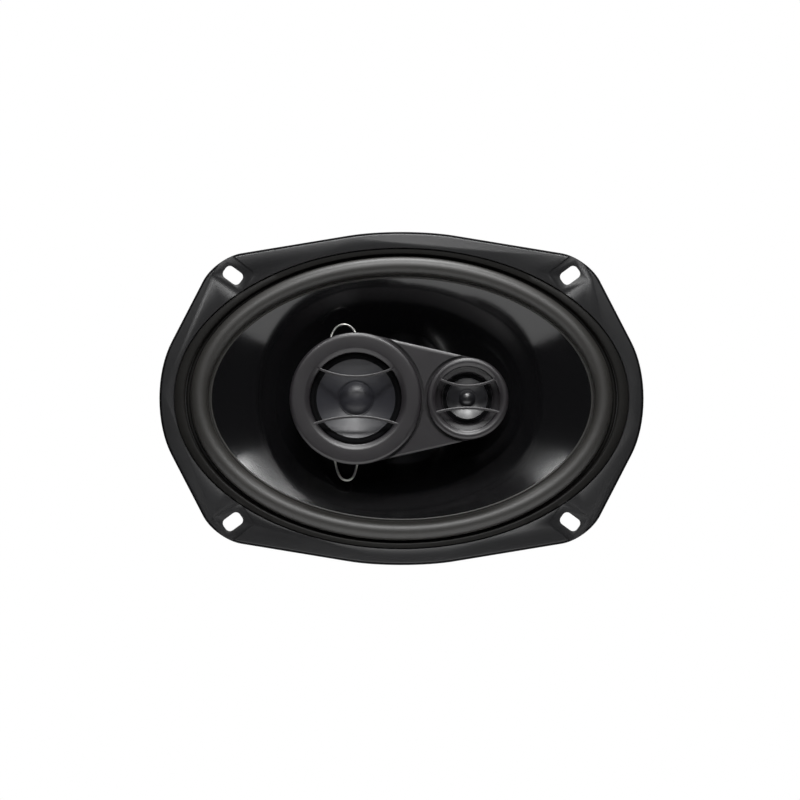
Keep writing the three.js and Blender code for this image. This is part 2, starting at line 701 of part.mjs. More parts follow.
// Top plate, ring magnet and yoke of a small driver, stacked backwards from z = front.
function smallMotor(prefix, x, size) {
  const { front, plate, magnet, back, bore, plateOuter, magnetOuter, pole } = size;
  const plateRear = front - plate;
  const magnetFront = plateRear - FIT;
  const magnetRear = magnetFront - magnet;
  const yokeFront = magnetRear - FIT;
  const sides = SMALL_SIDES;
  const disc = ringProfile(bore, plateOuter, plateRear, front);
  piece(`${prefix}_top_plate`, revolve(disc, sides, x), 'platedSteel');
  const ring = ringProfile(bore + 1, magnetOuter, magnetRear, magnetFront);
  piece(`${prefix}_magnet`, revolve(ring, sides, x), 'ferrite');
  const profile = [
    [0, yokeFront - back], [plateOuter, yokeFront - back], [plateOuter, yokeFront],
    [pole, yokeFront], [pole, front], [0, front],
  ];
  piece(`${prefix}_yoke`, revolve(profile, sides, x), 'platedSteel');
}

function offsetBack(front, wall) {
  return [...front, ...front.map(([radius, z]) => [radius, z - wall]).reverse()];
}

function midrange() {
  const sides = MEDIUM_SIDES;
  const frame = [
    [8.6, -1], [16.2, -1], [16.2, 2.4], [26.2, 8.2], [29.2, 8.2], [29.2, 9.9], [24.9, 9.9],
    [24.9, 8.3], [23.1, 8.3], [15, 2.2], [15, 0.2], [8.6, 0.2],
  ];
  piece('midrange_frame', revolve(frame, sides, MID_X), 'podPlastic');
  const roll = [[19.9, 8.9], [20.8, 10], [22.1, 10], [23, 9], [24.6, 9]];
  const surround = revolve(offsetBack(roll, 0.4), sides, MID_X);
  piece('midrange_surround', surround, 'rubber');
  const cone = offsetBack([[7.8, 3], [10, 4], [14, 5.6], [20.2, 8.2]], 0.5);
  piece('midrange_cone', revolve(cone, sides, MID_X), 'paperCone');
  const dome = [[0, 7.3], [4, 6.8], [7, 5.3], [8.3, 3.75]];
  const domeBack = [[7.8, 3.9], [6.5, 5], [3.8, 6.3], [0, 6.8]];
  piece('midrange_dust_cap', revolve([...dome, ...domeBack], SMALL_SIDES, MID_X), 'paperCone');
  const coil = ringProfile(7, 7.45, -5.3, 2.6);
  piece('midrange_voice_coil', revolve(coil, SMALL_SIDES, MID_X), 'copper');
  const waves = [[7.8, 1.1], [9.4, 1.6], [11, 1.1], [12.4, 1.6], [14.2, 1]];
  piece('midrange_spider', revolve(offsetBack(waves, 0.4), SMALL_SIDES, MID_X), 'spiderCloth');
  smallMotor('midrange', MID_X, {
    front: -1.3, plate: 2, magnet: 4.7, back: 2,
    bore: 7.9, plateOuter: 13, magnetOuter: 14.5, pole: 6.4,
  });
}

function tweeter() {
  const frame = [
    [11.2, 4.3], [14, 4.3], [14, 8.2], [17.2, 8.2], [17.2, 9.9], [15.4, 9.9],
    [13.6, 9.1], [12.4, 7.8], [12.4, 6.4], [11.2, 6.4],
  ];
  piece('tweeter_frame', revolve(frame, SMALL_SIDES, TWEETER_X), 'podPlastic');
  const roll = [[10.1, 7.1], [10.6, 7.5], [11.1, 7.1], [12.1, 7.1]];
  piece('tweeter_surround', revolve(offsetBack(roll, 0.3), SMALL_SIDES, TWEETER_X), 'domeFilm');
  const front = [[0, 7.6], [2.2, 7.2], [3.8, 5.9], [4.4, 4.8], [9.9, 6.7]];
  const back = [[9.9, 6.4], [4.4, 4.5], [3.5, 5.7], [2, 6.9], [0, 7.2]];
  const diaphragm = revolve([...front, ...back], SMALL_SIDES, TWEETER_X);
  piece('tweeter_diaphragm', diaphragm, 'domeFilm');
  const coil = ringProfile(4.2, 4.6, 1.6, 4.3);
  piece('tweeter_voice_coil', revolve(coil, SMALL_SIDES, TWEETER_X), 'copper');
  smallMotor('tweeter', TWEETER_X, {
    front: 4, plate: 1.4, magnet: 3.4, back: 1.4,
    bore: 5.1, plateOuter: 11, magnetOuter: 13.4, pole: 3.8,
  });
}

piece('basket_frame', basketFrame(), 'paintedSteel');
wooferMovingParts();
wooferMotor();
terminals();
wiring();
pod();
midrange();
tweeter();

export default speaker;
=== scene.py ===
"""Looks of a three-way coaxial car speaker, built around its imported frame.

The script is laid out as an add-on: every piece or group of like pieces is one operator, the
sizes and colours that a user would change are properties, and main() runs the operators in order.
Sizes are in millimetres. A place is given as x to the right, up, and forward, which is how far a
point stands in front of the flange's rear face.
"""

import json
import math

import bpy
from mathutils import Matrix, Vector
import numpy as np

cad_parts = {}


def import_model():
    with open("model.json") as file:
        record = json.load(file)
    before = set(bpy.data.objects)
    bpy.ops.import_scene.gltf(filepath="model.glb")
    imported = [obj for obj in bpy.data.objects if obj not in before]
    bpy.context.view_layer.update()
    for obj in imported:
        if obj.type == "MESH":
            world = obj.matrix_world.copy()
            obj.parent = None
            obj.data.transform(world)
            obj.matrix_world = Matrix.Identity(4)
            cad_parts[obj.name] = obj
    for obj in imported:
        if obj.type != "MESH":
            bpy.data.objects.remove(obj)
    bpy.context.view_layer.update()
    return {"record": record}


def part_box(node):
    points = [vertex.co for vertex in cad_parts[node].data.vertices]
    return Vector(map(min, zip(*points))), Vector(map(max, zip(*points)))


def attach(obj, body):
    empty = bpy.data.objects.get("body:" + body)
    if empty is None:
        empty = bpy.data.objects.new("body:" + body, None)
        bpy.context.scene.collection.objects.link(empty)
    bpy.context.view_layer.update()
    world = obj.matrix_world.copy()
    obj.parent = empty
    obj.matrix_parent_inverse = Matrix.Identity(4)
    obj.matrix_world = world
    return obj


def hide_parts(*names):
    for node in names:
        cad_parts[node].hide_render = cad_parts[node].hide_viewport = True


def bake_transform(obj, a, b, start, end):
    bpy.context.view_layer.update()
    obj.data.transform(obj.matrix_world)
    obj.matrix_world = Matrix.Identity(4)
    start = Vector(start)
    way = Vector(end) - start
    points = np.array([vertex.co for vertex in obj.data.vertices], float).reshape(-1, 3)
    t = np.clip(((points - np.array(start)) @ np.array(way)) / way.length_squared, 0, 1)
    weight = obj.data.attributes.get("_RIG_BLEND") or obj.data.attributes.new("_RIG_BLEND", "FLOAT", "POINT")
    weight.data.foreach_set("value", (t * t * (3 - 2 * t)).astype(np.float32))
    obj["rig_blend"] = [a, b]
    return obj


bl_info = {
    "name": "Coaxial Car Speaker",
    "version": (1, 0, 0),
    "blender": (4, 5, 0),
    "location": "View3D > Sidebar > Speaker",
    "description": "Builds the visible pieces of a coaxial car speaker around its frame",
    "category": "Add Mesh",
}

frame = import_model()
SLOTS = {row["node"]: row["material_slot"] for row in frame["record"]["subparts"]}

MM = 0.001


def forward_of(node):
    """Rearmost and foremost place of a frame node along the speaker's axis, in mm."""
    low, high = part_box(node)
    return -high[1] / MM, -low[1] / MM


def centre_of(node):
    """Middle of a frame node across the speaker, in mm."""
    low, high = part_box(node)
    return (low[0] + high[0]) / 2 / MM


def radius_of(node):
    """Half the width of a frame node, in mm."""
    low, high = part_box(node)
    return (high[0] - low[0]) / 2 / MM


# ---- sizes taken from the frame ----

HALF_LENGTH = radius_of("basket_frame")
HALF_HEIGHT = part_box("basket_frame")[1][2] / MM
BASE_REAR, FLANGE_FRONT = forward_of("basket_frame")
LEDGE = 0.8
MID_X = centre_of("midrange_bezel")
MID_RADIUS = radius_of("midrange_bezel")
TWEETER_X = centre_of("tweeter_bezel")
TWEETER_RADIUS = radius_of("tweeter_bezel")
PLATE_REAR, PLATE_FRONT = forward_of("pod_faceplate")
RINGS_FRONT = forward_of("midrange_bezel")[1]

# Corners of the flange's outline before rounding: half width, half height, length rounded off.
SIDE_CORNER = (HALF_LENGTH + 8.9, 31)
TOP_CORNER = (HALF_HEIGHT + 2.5, 26)
SHOULDER = (91.2, 69, 13)

# Mean radii where the ovals start and stop stretching, and how far they stretch.
BASKET_OVAL = (54, 90.1, 17.6)
CONE_OVAL = (19.2, 75.85, 17)
LIP_OVAL = (86.45, 92.2, 1.85)


def share(value, low, high):
    """How far value is from low to high, from 0 to 1."""
    return min(1.0, max(0.0, (value - low) / (high - low)))


def basket_ring(radius, forward):
    """Half width, half height and place of a basket ring of that mean radius."""
    low, high, most = BASKET_OVAL
    stretch = most * share(radius, low, high)
    return radius + stretch, radius - stretch, forward


def cone_ring(radius, forward):
    """Half width, half height and place of a cone or surround ring of that mean radius."""
    stretch = CONE_OVAL[2] * share(radius, *CONE_OVAL[:2])
    stretch += LIP_OVAL[2] * share(radius, *LIP_OVAL[:2])
    return radius + stretch, radius - stretch, forward


def round_ring(radius, forward):
    """A round ring as half width, half height and place."""
    return radius, radius, forward


# ---- what a user would change ----


def tone(name, description, red, green, blue):
    """A colour property given as the eye sees it, from 0 to 255."""
    linear = [((value / 255 + 0.055) / 1.055) ** 2.4 if value > 10 else value / 3294.6
              for value in (red, green, blue)]
    return bpy.props.FloatVectorProperty(
        name=name, description=description, subtype="COLOR", size=3, min=0, max=1, default=linear
    )


def length(name, description, value):
    """A length property in millimetres."""
    return bpy.props.FloatProperty(name=name, description=description, default=value, min=0)


class SpeakerSizes(bpy.types.PropertyGroup):
    """Sizes of the visible shapes, in millimetres unless said otherwise."""

    hem: length("Hem", "Radius of the rolled edge round the flange", 1.7)
    roll_height: length("Roll height", "How far the surround's roll stands forward", 4.4)
    groove: length("Groove", "Depth of the groove outside the roll", 2.5)
    bar: length("Guard bar", "Width of the bars across the pod's two mouths", 1.3)
    chamfer: length("Plate chamfer", "Width of the bevel round the pod's front plate", 1.1)
    flare: bpy.props.FloatProperty(
        name="Cone flare", description="Exponent of the cone's curve, 1 for a straight wall",
        default=0.8, min=0.5, max=1.5,
    )
    sides: bpy.props.IntProperty(
        name="Sides", description="Facets round the largest rings", default=160, min=24, max=400
    )


class SpeakerColours(bpy.types.PropertyGroup):
    """Colours of the finishes."""

    paint: tone("Paint", "Black paint of the steel basket", 20, 20, 21)
    rubber: tone("Rubber", "Surround of the woofer", 31, 30, 28)
    cone: tone("Cone", "Glossy woofer cone", 9, 9, 10)
    pod: tone("Pod", "Moulded plastic of the pod", 25, 23, 25)
    # The hem colour is painted shade: near black, for the shade on the flange's rolled edge and in the small
    # surrounds.
    hem: tone("Hem", "Outer edge of the flange, and the small surrounds", 5, 5, 6)
    paper: tone("Paper", "Cone and cap of the midrange", 34, 34, 38)
    film: tone("Film", "Diaphragm of the tweeter", 24, 24, 26)
    steel: tone("Steel", "Zinc-plated steel of the motor", 168, 168, 172)
    ferrite: tone("Ferrite", "Ground magnet", 62, 62, 65)
    cloth: tone("Cloth", "Spider", 171, 134, 74)
    board: tone("Board", "Terminal board", 104, 72, 42)
    brass: tone("Tinned brass", "Terminal blades", 205, 198, 170)
    copper: tone("Copper", "Windings and braid", 184, 104, 60)
    wire: tone("Bare wire", "Leads beside the pod", 176, 176, 172)
    sleeve: tone("Sleeve", "Capacitors", 35, 64, 107)


# ---- modelling helpers ----


def at(x, up, forward):
    """A point of the frame from millimetres."""
    return Vector((x, -forward, up)) * MM


def deselect():
    """Leaves edit mode and selects nothing."""
    if bpy.context.object and bpy.context.object.mode != "OBJECT":
        bpy.ops.object.mode_set(mode="OBJECT")
    bpy.ops.object.select_all(action="DESELECT")


def take(piece):
    """Selects one piece alone and makes it active."""
    deselect()
    piece.select_set(True)
    bpy.context.view_layer.objects.active = piece


def edit():
    """Enters edit mode with everything selected."""
    bpy.ops.object.mode_set(mode="EDIT")
    bpy.ops.mesh.select_all(action="SELECT")


def leave():
    """Leaves edit mode."""
    bpy.ops.object.mode_set(mode="OBJECT")


def settle(piece, name=None):
    """Moves a piece's place into its mesh."""
    take(piece)
    bpy.ops.object.transform_apply(location=True, rotation=True, scale=True)
    if name:
        piece.name = name
        piece.data.name = name
    return piece


def outward(piece):
    """Merges doubles and turns every face outwards."""
    take(piece)
    edit()
    bpy.ops.mesh.remove_doubles(threshold=1e-6)
    bpy.ops.mesh.normals_make_consistent(inside=False)
    leave()
    return piece


def resize_ring(width, height, x, forward):
    """Resizes the selection across the speaker, about its axis."""
    bpy.ops.transform.resize(value=(width, 1, height), center_override=at(x, 0, forward))


def turned(name, rings, sides, x=0.0, hollow=True):
    """A body made of rings (half width, half height, forward), each drawn out of the last.

    A hollow body closes on its first ring, and a solid one gets a cap at each end.
    """
    width, height, forward = rings[0]
    deselect()
    bpy.ops.mesh.primitive_circle_add(
        vertices=sides, radius=width * MM, location=at(x, 0, forward), rotation=(math.pi / 2, 0, 0)
    )
    piece = bpy.context.object
    edit()
    resize_ring(1, height / width, x, forward)
    path = rings[1:] + ([rings[0]] if hollow else [])
    for next_width, next_height, next_forward in path:
        step = (0, (forward - next_forward) * MM, 0)
        bpy.ops.mesh.extrude_edges_move(TRANSFORM_OT_translate={"value": step})
        resize_ring(next_width / width, next_height / height, x, next_forward)
        width, height, forward = next_width, next_height, next_forward
    bpy.ops.mesh.select_all(action="SELECT")
    bpy.ops.mesh.remove_doubles(threshold=1e-6)
    if not hollow:
        bpy.ops.mesh.fill_holes(sides=0)
    bpy.ops.mesh.select_all(action="SELECT")
    bpy.ops.mesh.normals_make_consistent(inside=False)
    return settle(piece, name)


def spun(name, profile, sides, x=0.0, hollow=True):
    """A round body from (radius, forward) points."""
    return turned(name, [round_ring(*row) for row in profile], sides, x, hollow)


def thin(profile, wall):
    """A skin of that thickness behind a profile of (radius, forward)."""
    return profile + [(radius, forward - wall) for radius, forward in reversed(profile)]


def soften(piece, width, segments=2, angle=35):
    """Rounds the sharp edges of a piece and shades the rest smooth."""
    take(piece)
    modifier = piece.modifiers.new("soften", "BEVEL")
    modifier.width = width * MM
    modifier.segments = segments
    modifier.limit_method = "ANGLE"
    modifier.angle_limit = math.radians(angle)
    modifier.use_clamp_overlap = True
    bpy.ops.object.modifier_apply(modifier="soften")
    return smooth(piece)


def smooth(piece, angle=38):
    """Shades a piece smooth except over sharp edges."""
    take(piece)
    bpy.ops.object.shade_smooth_by_angle(angle=math.radians(angle))
    return piece


def combine(piece, tool, operation):
    """Joins a tool to a piece or cuts it away, and removes the tool."""
    take(piece)
    modifier = piece.modifiers.new("combine", "BOOLEAN")
    modifier.operation = operation
    modifier.solver = "EXACT"
    modifier.object = tool
    bpy.ops.object.modifier_apply(modifier="combine")
    bpy.data.objects.remove(tool)
    return piece


def cut(piece, *tools):
    """Cuts each tool away from a piece."""
    for tool in tools:
        combine(piece, tool, "DIFFERENCE")
    return piece


def fuse(piece, *others):
    """Joins other bodies to a piece as one skin."""
    for other in others:
        combine(piece, other, "UNION")
    return piece


def cube(size):
    """A cube in edit mode, resized to that many millimetres along x, y and z."""
    deselect()
    bpy.ops.mesh.primitive_cube_add(size=1, location=(0, 0, 0))
    edit()
    bpy.ops.transform.resize(value=[value * MM for value in size])
    return bpy.context.object


def block(name, size, turn=0.0, corner=0.0, place=(0, 0, 0)):
    """A block of (width, height, depth) with rounded long edges, turned about the axis."""
    piece = cube((size[0], size[2], size[1]))
    if corner:
        select_edges(piece, lambda a, b: abs(a.y - b.y) > 1e-5)
        bpy.ops.mesh.bevel(offset=corner * MM, segments=5, affect="EDGES")
    leave()
    piece.rotation_euler = (0, -turn, 0)
    piece.location = at(*place)
    return settle(piece, name)


def select_edges(piece, wanted):
    """In edit mode, selects the edges whose two end points pass the test."""
    bpy.ops.mesh.select_all(action="DESELECT")
    bpy.ops.mesh.select_mode(type="EDGE")
    leave()
    points = piece.data.vertices
    for edge in piece.data.edges:
        edge.select = wanted(*[points[i].co for i in edge.vertices])
    bpy.ops.object.mode_set(mode="EDIT")


def select_points(piece, wanted):
    """In edit mode, selects the vertices that pass the test."""
    bpy.ops.mesh.select_mode(type="VERT")
    bpy.ops.mesh.select_all(action="DESELECT")
    leave()
    for point in piece.data.vertices:
        point.select = wanted(point.co)
    bpy.ops.object.mode_set(mode="EDIT")


def copy_of(piece, name):
    """A copy of a piece with its own mesh."""
    take(piece)
    bpy.ops.object.duplicate()
    twin = bpy.context.object
    twin.name = name
    twin.data.name = name
    return twin


def wire(name, points, radius, rings=4):
    """A round wire on a smooth curve through points (x, up, forward)."""
    curve = bpy.data.curves.new(name, "CURVE")
    curve.dimensions = "3D"
    curve.resolution_u = 10
    curve.bevel_depth = radius * MM
    curve.bevel_resolution = rings
    curve.use_fill_caps = True
    spline = curve.splines.new("BEZIER")
    spline.bezier_points.add(len(points) - 1)
    for knot, point in zip(spline.bezier_points, points):
        knot.co = at(*point)
        knot.handle_left_type = "AUTO"
        knot.handle_right_type = "AUTO"
    piece = bpy.data.objects.new(name, curve)
    bpy.context.collection.objects.link(piece)
    take(piece)
    bpy.ops.object.convert(target="MESH")
    piece = outward(bpy.context.object)
    return smooth(piece, 50)


# ---- finishes ----


WAVE = math.tau / 20  # period of a wave texture at scale 1


class Socket:
    """An output of a node, with arithmetic."""

    def __init__(self, finish, output):
        self.finish = finish
        self.output = output

    def __add__(self, other):
        return self.finish.maths("ADD", self, other)

    def __rsub__(self, other):
        return self.finish.maths("SUBTRACT", other, self)

    def __mul__(self, other):
        return self.finish.maths("MULTIPLY", self, other)

    __radd__ = __add__
    __rmul__ = __mul__


class Finish:
    """A procedural material in the making."""

    def __init__(self, name, constants=None):
        self.material = bpy.data.materials.new(name)
        self.material.use_nodes = True
        self.tree = self.material.node_tree
        self.shader = self.tree.nodes["Principled BSDF"]
        self.place = self.node("TexCoord", output="Object")
        for socket, value in (constants or {}).items():
            self.set(socket, value)

    def set(self, socket, value):
        """Sets or links one of the shader's inputs."""
        target = self.shader.inputs[socket]
        if isinstance(value, Socket):
            self.tree.links.new(value.output, target)
        elif isinstance(value, float) or isinstance(value, int):
            target.default_value = value
        else:
            target.default_value = (*value, 1)[:4]

    def node(self, kind, settings=None, output=0, **values):
        """Adds a node, sets its settings, fills its sockets and returns an output."""
        node = self.tree.nodes.new("ShaderNode" + kind)
        for setting, value in (settings or {}).items():
            setattr(node, setting, value)
        for socket, value in values.items():
            index = int(socket[1:]) if socket[1:].isdigit() else socket.replace("_", " ")
            target = node.inputs[index]
            if isinstance(value, Socket):
                self.tree.links.new(value.output, target)
            elif hasattr(target.default_value, "__len__") and len(target.default_value) == 4:
                target.default_value = (*value, 1)[:4]
            else:
                target.default_value = value
        return Socket(self, node.outputs[output])

    def maths(self, operation, first, second):
        """One step of arithmetic."""
        return self.node("Math", {"operation": operation}, i0=first, i1=second)

    def noise(self, size, detail=3.0, roughness=0.6, place=None):
        """Soft blotches about size mm across."""
        return self.node("TexNoise", Vector=place or self.place, Scale=1 / (size * MM),
                         Detail=detail, Roughness=roughness)

    def cells(self, size):
        """Distance to the nearest of scattered points about size mm apart."""
        return self.node("TexVoronoi", Vector=self.place, Scale=1 / (size * MM))

    def wave(self, kind, size, axis, distortion=0.0):
        """RINGS round an axis or BANDS across it, size mm apart."""
        settings = {"wave_type": kind, f"{kind.lower()}_direction": axis}
        return self.node("TexWave", settings, output=1, Vector=self.place,
                         Scale=WAVE / (size * MM), Distortion=distortion)

    def moved(self, stretch, turn=(0, 0, 0)):
        """Object coordinates turned and stretched."""
        return self.node("Mapping", Vector=self.place, Rotation=turn, Scale=stretch)

    def fade(self, value, low, high):
        """Maps value from low..high to 0..1, smoothly."""
        settings = {"interpolation_type": "SMOOTHSTEP"}
        return self.node("MapRange", settings, i0=value, i1=low, i2=high, i3=0.0, i4=1.0)

    def mix(self, factor, first, second):
        """A colour between two."""
        settings = {"data_type": "RGBA"}
        return self.node("Mix", settings, output=2, i0=factor, i6=first, i7=second)

    def colour(self, factor, base, dark, light, other=None):
        """Base colour from a shade of one colour to a shade of the same or another."""
        lighter = shade(base if other is None else other, light)
        self.set("Base Color", self.mix(factor, shade(base, dark), lighter))

    def bump(self, height, depth, strength):
        """Relief of depth mm from a height between 0 and 1."""
        self.set("Normal", self.node("Bump", Height=height, Distance=depth * MM, Strength=strength))


def shade(colour, factor):
    """A colour made lighter or darker."""
    return tuple(min(1.0, value * factor) for value in colour)


def painted_steel(finish, tones):
    """Black paint with a fine orange-peel skin and rubbed patches."""
    grain = finish.noise(0.35, 2.0)
    patches = finish.noise(26, 4.0)
    finish.colour(patches, tones.paint, 0.86, 1.16)
    finish.set("Roughness", 0.28 + patches * 0.08 + grain * 0.04)
    finish.bump(grain, 0.02, 0.5)


def rubber(finish, tones, tint=1.0):
    """Matt rubber with a fine moulded grain."""
    grain = finish.noise(0.28, 3.0)
    bloom = finish.noise(14, 3.0)
    # A tint below 1 darkens the rubber as painted shade; only the surround's lip uses it.
    finish.colour(bloom, tones.rubber, 0.88 * tint, 1.12 * tint)
    finish.set("Roughness", 0.42 + bloom * 0.1)
    finish.bump(grain, 0.05, 0.55)


def lip_rubber_painted_shade(finish, tones):
    """The surround's outer lip, darkened as painted shade, standing for the shadow that the flange's step
    casts on it.
    """
    rubber(finish, tones, tint=0.4)


def painted_shade_black(finish, tones):
    """Dull near-black painted shade, along the flange's rolled edge and on the small surrounds, where shade
    falls.
    """
    grain = finish.noise(0.4, 3.0)
    finish.colour(grain, tones.hem, 0.7, 1.4)
    finish.set("Roughness", 0.7 + grain * 0.15)


def gloss_cone(finish, tones):
    """Polished black moulding with faint flow marks."""
    flow = finish.noise(9, 2.0)
    dust = finish.fade(finish.noise(0.5, 4.0), 0.62, 0.78)
    finish.colour(dust, tones.cone, 1, 2.2)
    finish.set("Roughness", 0.09 + flow * 0.05 + dust * 0.08)
    finish.bump(flow, 0.04, 0.4)


def pod_plastic(finish, tones):
    """Satin black moulding with a spark-eroded texture."""
    haze = finish.noise(11, 3.0)
    finish.colour(haze, tones.pod, 0.9, 1.1)
    finish.set("Roughness", 0.33 + haze * 0.1)
    finish.bump(finish.cells(0.32), 0.025, 0.4)


def pressed_paper(finish, tones):
    """Dark paper pulp with fibres."""
    stretched = finish.moved(stretch=(1, 1, 3.2), turn=(0, 0.6, 0))
    fibres = finish.noise(0.9, 5.0, 0.75, place=stretched)
    blotches = finish.noise(3.5, 3.0)
    finish.colour(fibres * 0.7 + blotches * 0.3, tones.paper, 0.7, 1.3)
    finish.set("Roughness", 0.32 + blotches * 0.12)
    finish.bump(fibres, 0.08, 0.6)


def dome_film(finish, tones):
    """Thin glossy film, slightly wavy."""
    waves = finish.noise(2.2, 2.0)
    finish.colour(waves, tones.film, 0.8, 1.3)
    finish.set("Roughness", 0.26 + waves * 0.08)
    finish.bump(waves, 0.01, 0.2)


def plated_steel(finish, tones):
    """Zinc-plated steel with turning marks and a faint tint."""
    marks = finish.wave("RINGS", 0.34, "Y", 0.6)
    cloud = finish.noise(16, 4.0)
    finish.colour(cloud, tones.steel, 0.72, 1.05)
    finish.set("Roughness", 0.3 + cloud * 0.14 + marks * 0.05)
    finish.bump(marks, 0.012, 0.35)


def ferrite(finish, tones):
    """Ground grey ferrite with pits and grinding marks."""
    pits = finish.fade(finish.cells(1.6), 0.08, 0.2)
    marks = finish.wave("BANDS", 0.5, "X", 3.0)
    grain = finish.noise(0.8, 5.0)
    finish.colour(grain, tones.ferrite, 0.72, 1.25)
    finish.set("Roughness", 0.6 + grain * 0.2)
    finish.bump(pits * 0.7 + marks * 0.15 + grain * 0.15, 0.06, 0.6)


def spider_cloth(finish, tones):
    """Open woven cloth stiffened with amber resin."""
    across = finish.wave("BANDS", 0.7, "X")
    along = finish.wave("BANDS", 0.7, "Z")
    weave = finish.maths("MAXIMUM", across * (1 - along), along * (1 - across))
    stain = finish.noise(9, 4.0)
    dark = finish.mix(stain, shade(tones.cloth, 0.35), shade(tones.cloth, 0.6))
    finish.set("Base Color", finish.mix(weave, dark, tones.cloth))
    finish.set("Roughness", 0.72 + stain * 0.15)
    finish.bump(weave, 0.15, 0.8)


def felt(finish, tones):
    """Black felt."""
    hair = finish.noise(0.5, 6.0, 0.8)
    finish.colour(hair, tones.cone, 1.2, 0.8, tones.paint)
    finish.bump(hair, 0.25, 0.9)


def former_film(finish, tones):
    """Amber heat-proof film of the voice coil formers."""
    streaks = finish.noise(3, 3.0, place=finish.moved(stretch=(1, 0.2, 1)))
    finish.colour(streaks, tones.board, 1.2, 0.8, tones.copper)
    finish.set("Roughness", 0.28 + streaks * 0.12)


def copper(finish, tones):
    """Enamelled copper, wound or braided, with a turn every third of a millimetre."""
    turns = finish.wave("BANDS", 0.32, "Y")
    finish.colour(turns, tones.copper, 0.45, 1)
    finish.set("Roughness", 0.3 + finish.noise(2.5, 3.0) * 0.15)
    finish.bump(turns, 0.08, 0.8)


def fibre_board(finish, tones):
    """Brown phenolic board."""
    fibres = finish.noise(1.1, 5.0, 0.7, place=finish.moved(stretch=(0.35, 1, 1)))
    finish.colour(fibres, tones.board, 0.65, 1.25)
    finish.set("Roughness", 0.5 + fibres * 0.2)
    finish.bump(fibres, 0.03, 0.5)


def tinned_brass(finish, tones):
    """Tinned blades with wipe marks along them."""
    wipe = finish.noise(0.6, 3.0, place=finish.moved(stretch=(1, 0.12, 0.12)))
    finish.colour(finish.noise(5, 3.0), tones.brass, 0.72, 1)
    finish.set("Roughness", 0.22 + wipe * 0.2)
    finish.bump(wipe, 0.01, 0.4)


def bare_wire(finish, tones):
    """Tinned wire, slightly dulled."""
    dull = finish.noise(1.5, 4.0)
    finish.colour(dull, tones.wire, 0.6, 1)
    finish.set("Roughness", 0.25 + dull * 0.2)


def insulation(finish, tones):
    """Black wire sheath."""
    scuff = finish.noise(2.2, 4.0)
    finish.colour(scuff, tones.cone, 1.1, 0.7, tones.pod)
    finish.set("Roughness", 0.32 + scuff * 0.2)


def sleeve(finish, tones):
    """Shrink sleeve of a capacitor."""
    crease = finish.noise(1.4, 3.0)
    finish.colour(crease, tones.sleeve, 0.8, 1.2)
    finish.set("Roughness", 0.3 + crease * 0.15)
    finish.bump(crease, 0.05, 0.4)


GLOSS = "Specular IOR Level"
METAL = {"Metallic": 1.0}

# The maker and the shader's constants of each of the record's slots, and of two finishes more.
MAKERS = {
    "painted_steel": (painted_steel, {}), "surround_rubber": (rubber, {}),
    # The lip's and the hem's finishes on the next line are near-black painted shade.
    "lip_rubber_painted_shade": (lip_rubber_painted_shade, {GLOSS: 0.14}), "painted_shade_black": (painted_shade_black, {GLOSS: 0.06}),
    "cone_gloss": (gloss_cone, {}), "pod_plastic": (pod_plastic, {}),
    "paper_cone": (pressed_paper, {GLOSS: 0.4}), "dome_film": (dome_film, {GLOSS: 0.6}),
    "plated_steel": (plated_steel, METAL), "ferrite": (ferrite, {GLOSS: 0.45}),
    "spider_cloth": (spider_cloth, {"Sheen Weight": 0.2}),
    "felt": (felt, {"Sheen Weight": 0.35, "Roughness": 1.0}), "former_film": (former_film, {}),
    "copper": (copper, METAL), "fibre_board": (fibre_board, {GLOSS: 0.45}),
    "tinned_brass": (tinned_brass, METAL), "bare_wire": (bare_wire, METAL),
    "insulation": (insulation, {}), "sleeve": (sleeve, {}),
}
FINISHES = {}


def finish_for(slot):
    """The material of a slot, made on first use."""
    if slot not in FINISHES:
        maker, constants = MAKERS[slot]
        finish = Finish(maker.__name__, constants)
        maker(finish, bpy.context.scene.speaker_colours)
        FINISHES[slot] = finish.material
    return FINISHES[slot]


def stand_for(piece, node, body="frame", finish=None):
    """Puts a finished piece in place of a frame node, with its material and its moving body.

    The material is the node's own unless another is named. A piece that bends is given no body.
    """
    settle(piece)
    piece.data.materials.clear()
    piece.data.materials.append(finish_for(finish or SLOTS[node]))
    if body:
        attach(piece, body)
    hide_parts(node)
    return piece


# ---- basket ----

SLOT_PLACE = (82.55, 60.325)
SLOT = (10, 6.6, 12)  # length, width and height of its cutter
SLOT_CORNER = 2.4
SLOT_PAD = (17, 15, 4)
PAD_CORNER = 2.5
PAD_DEPTH = 0.8
RECESS = (111.4, 73.7)
LEG_ANGLES = (28, 90, 152, 208, 270, 332)
LEG_WIDTH = 17
WINDOW = (-36, -10)
WINDOW_CORNER = 3.2
WALL_INSIDE = 88.65
RIVET_CIRCLE = 33
RIVET_HOLE = 2


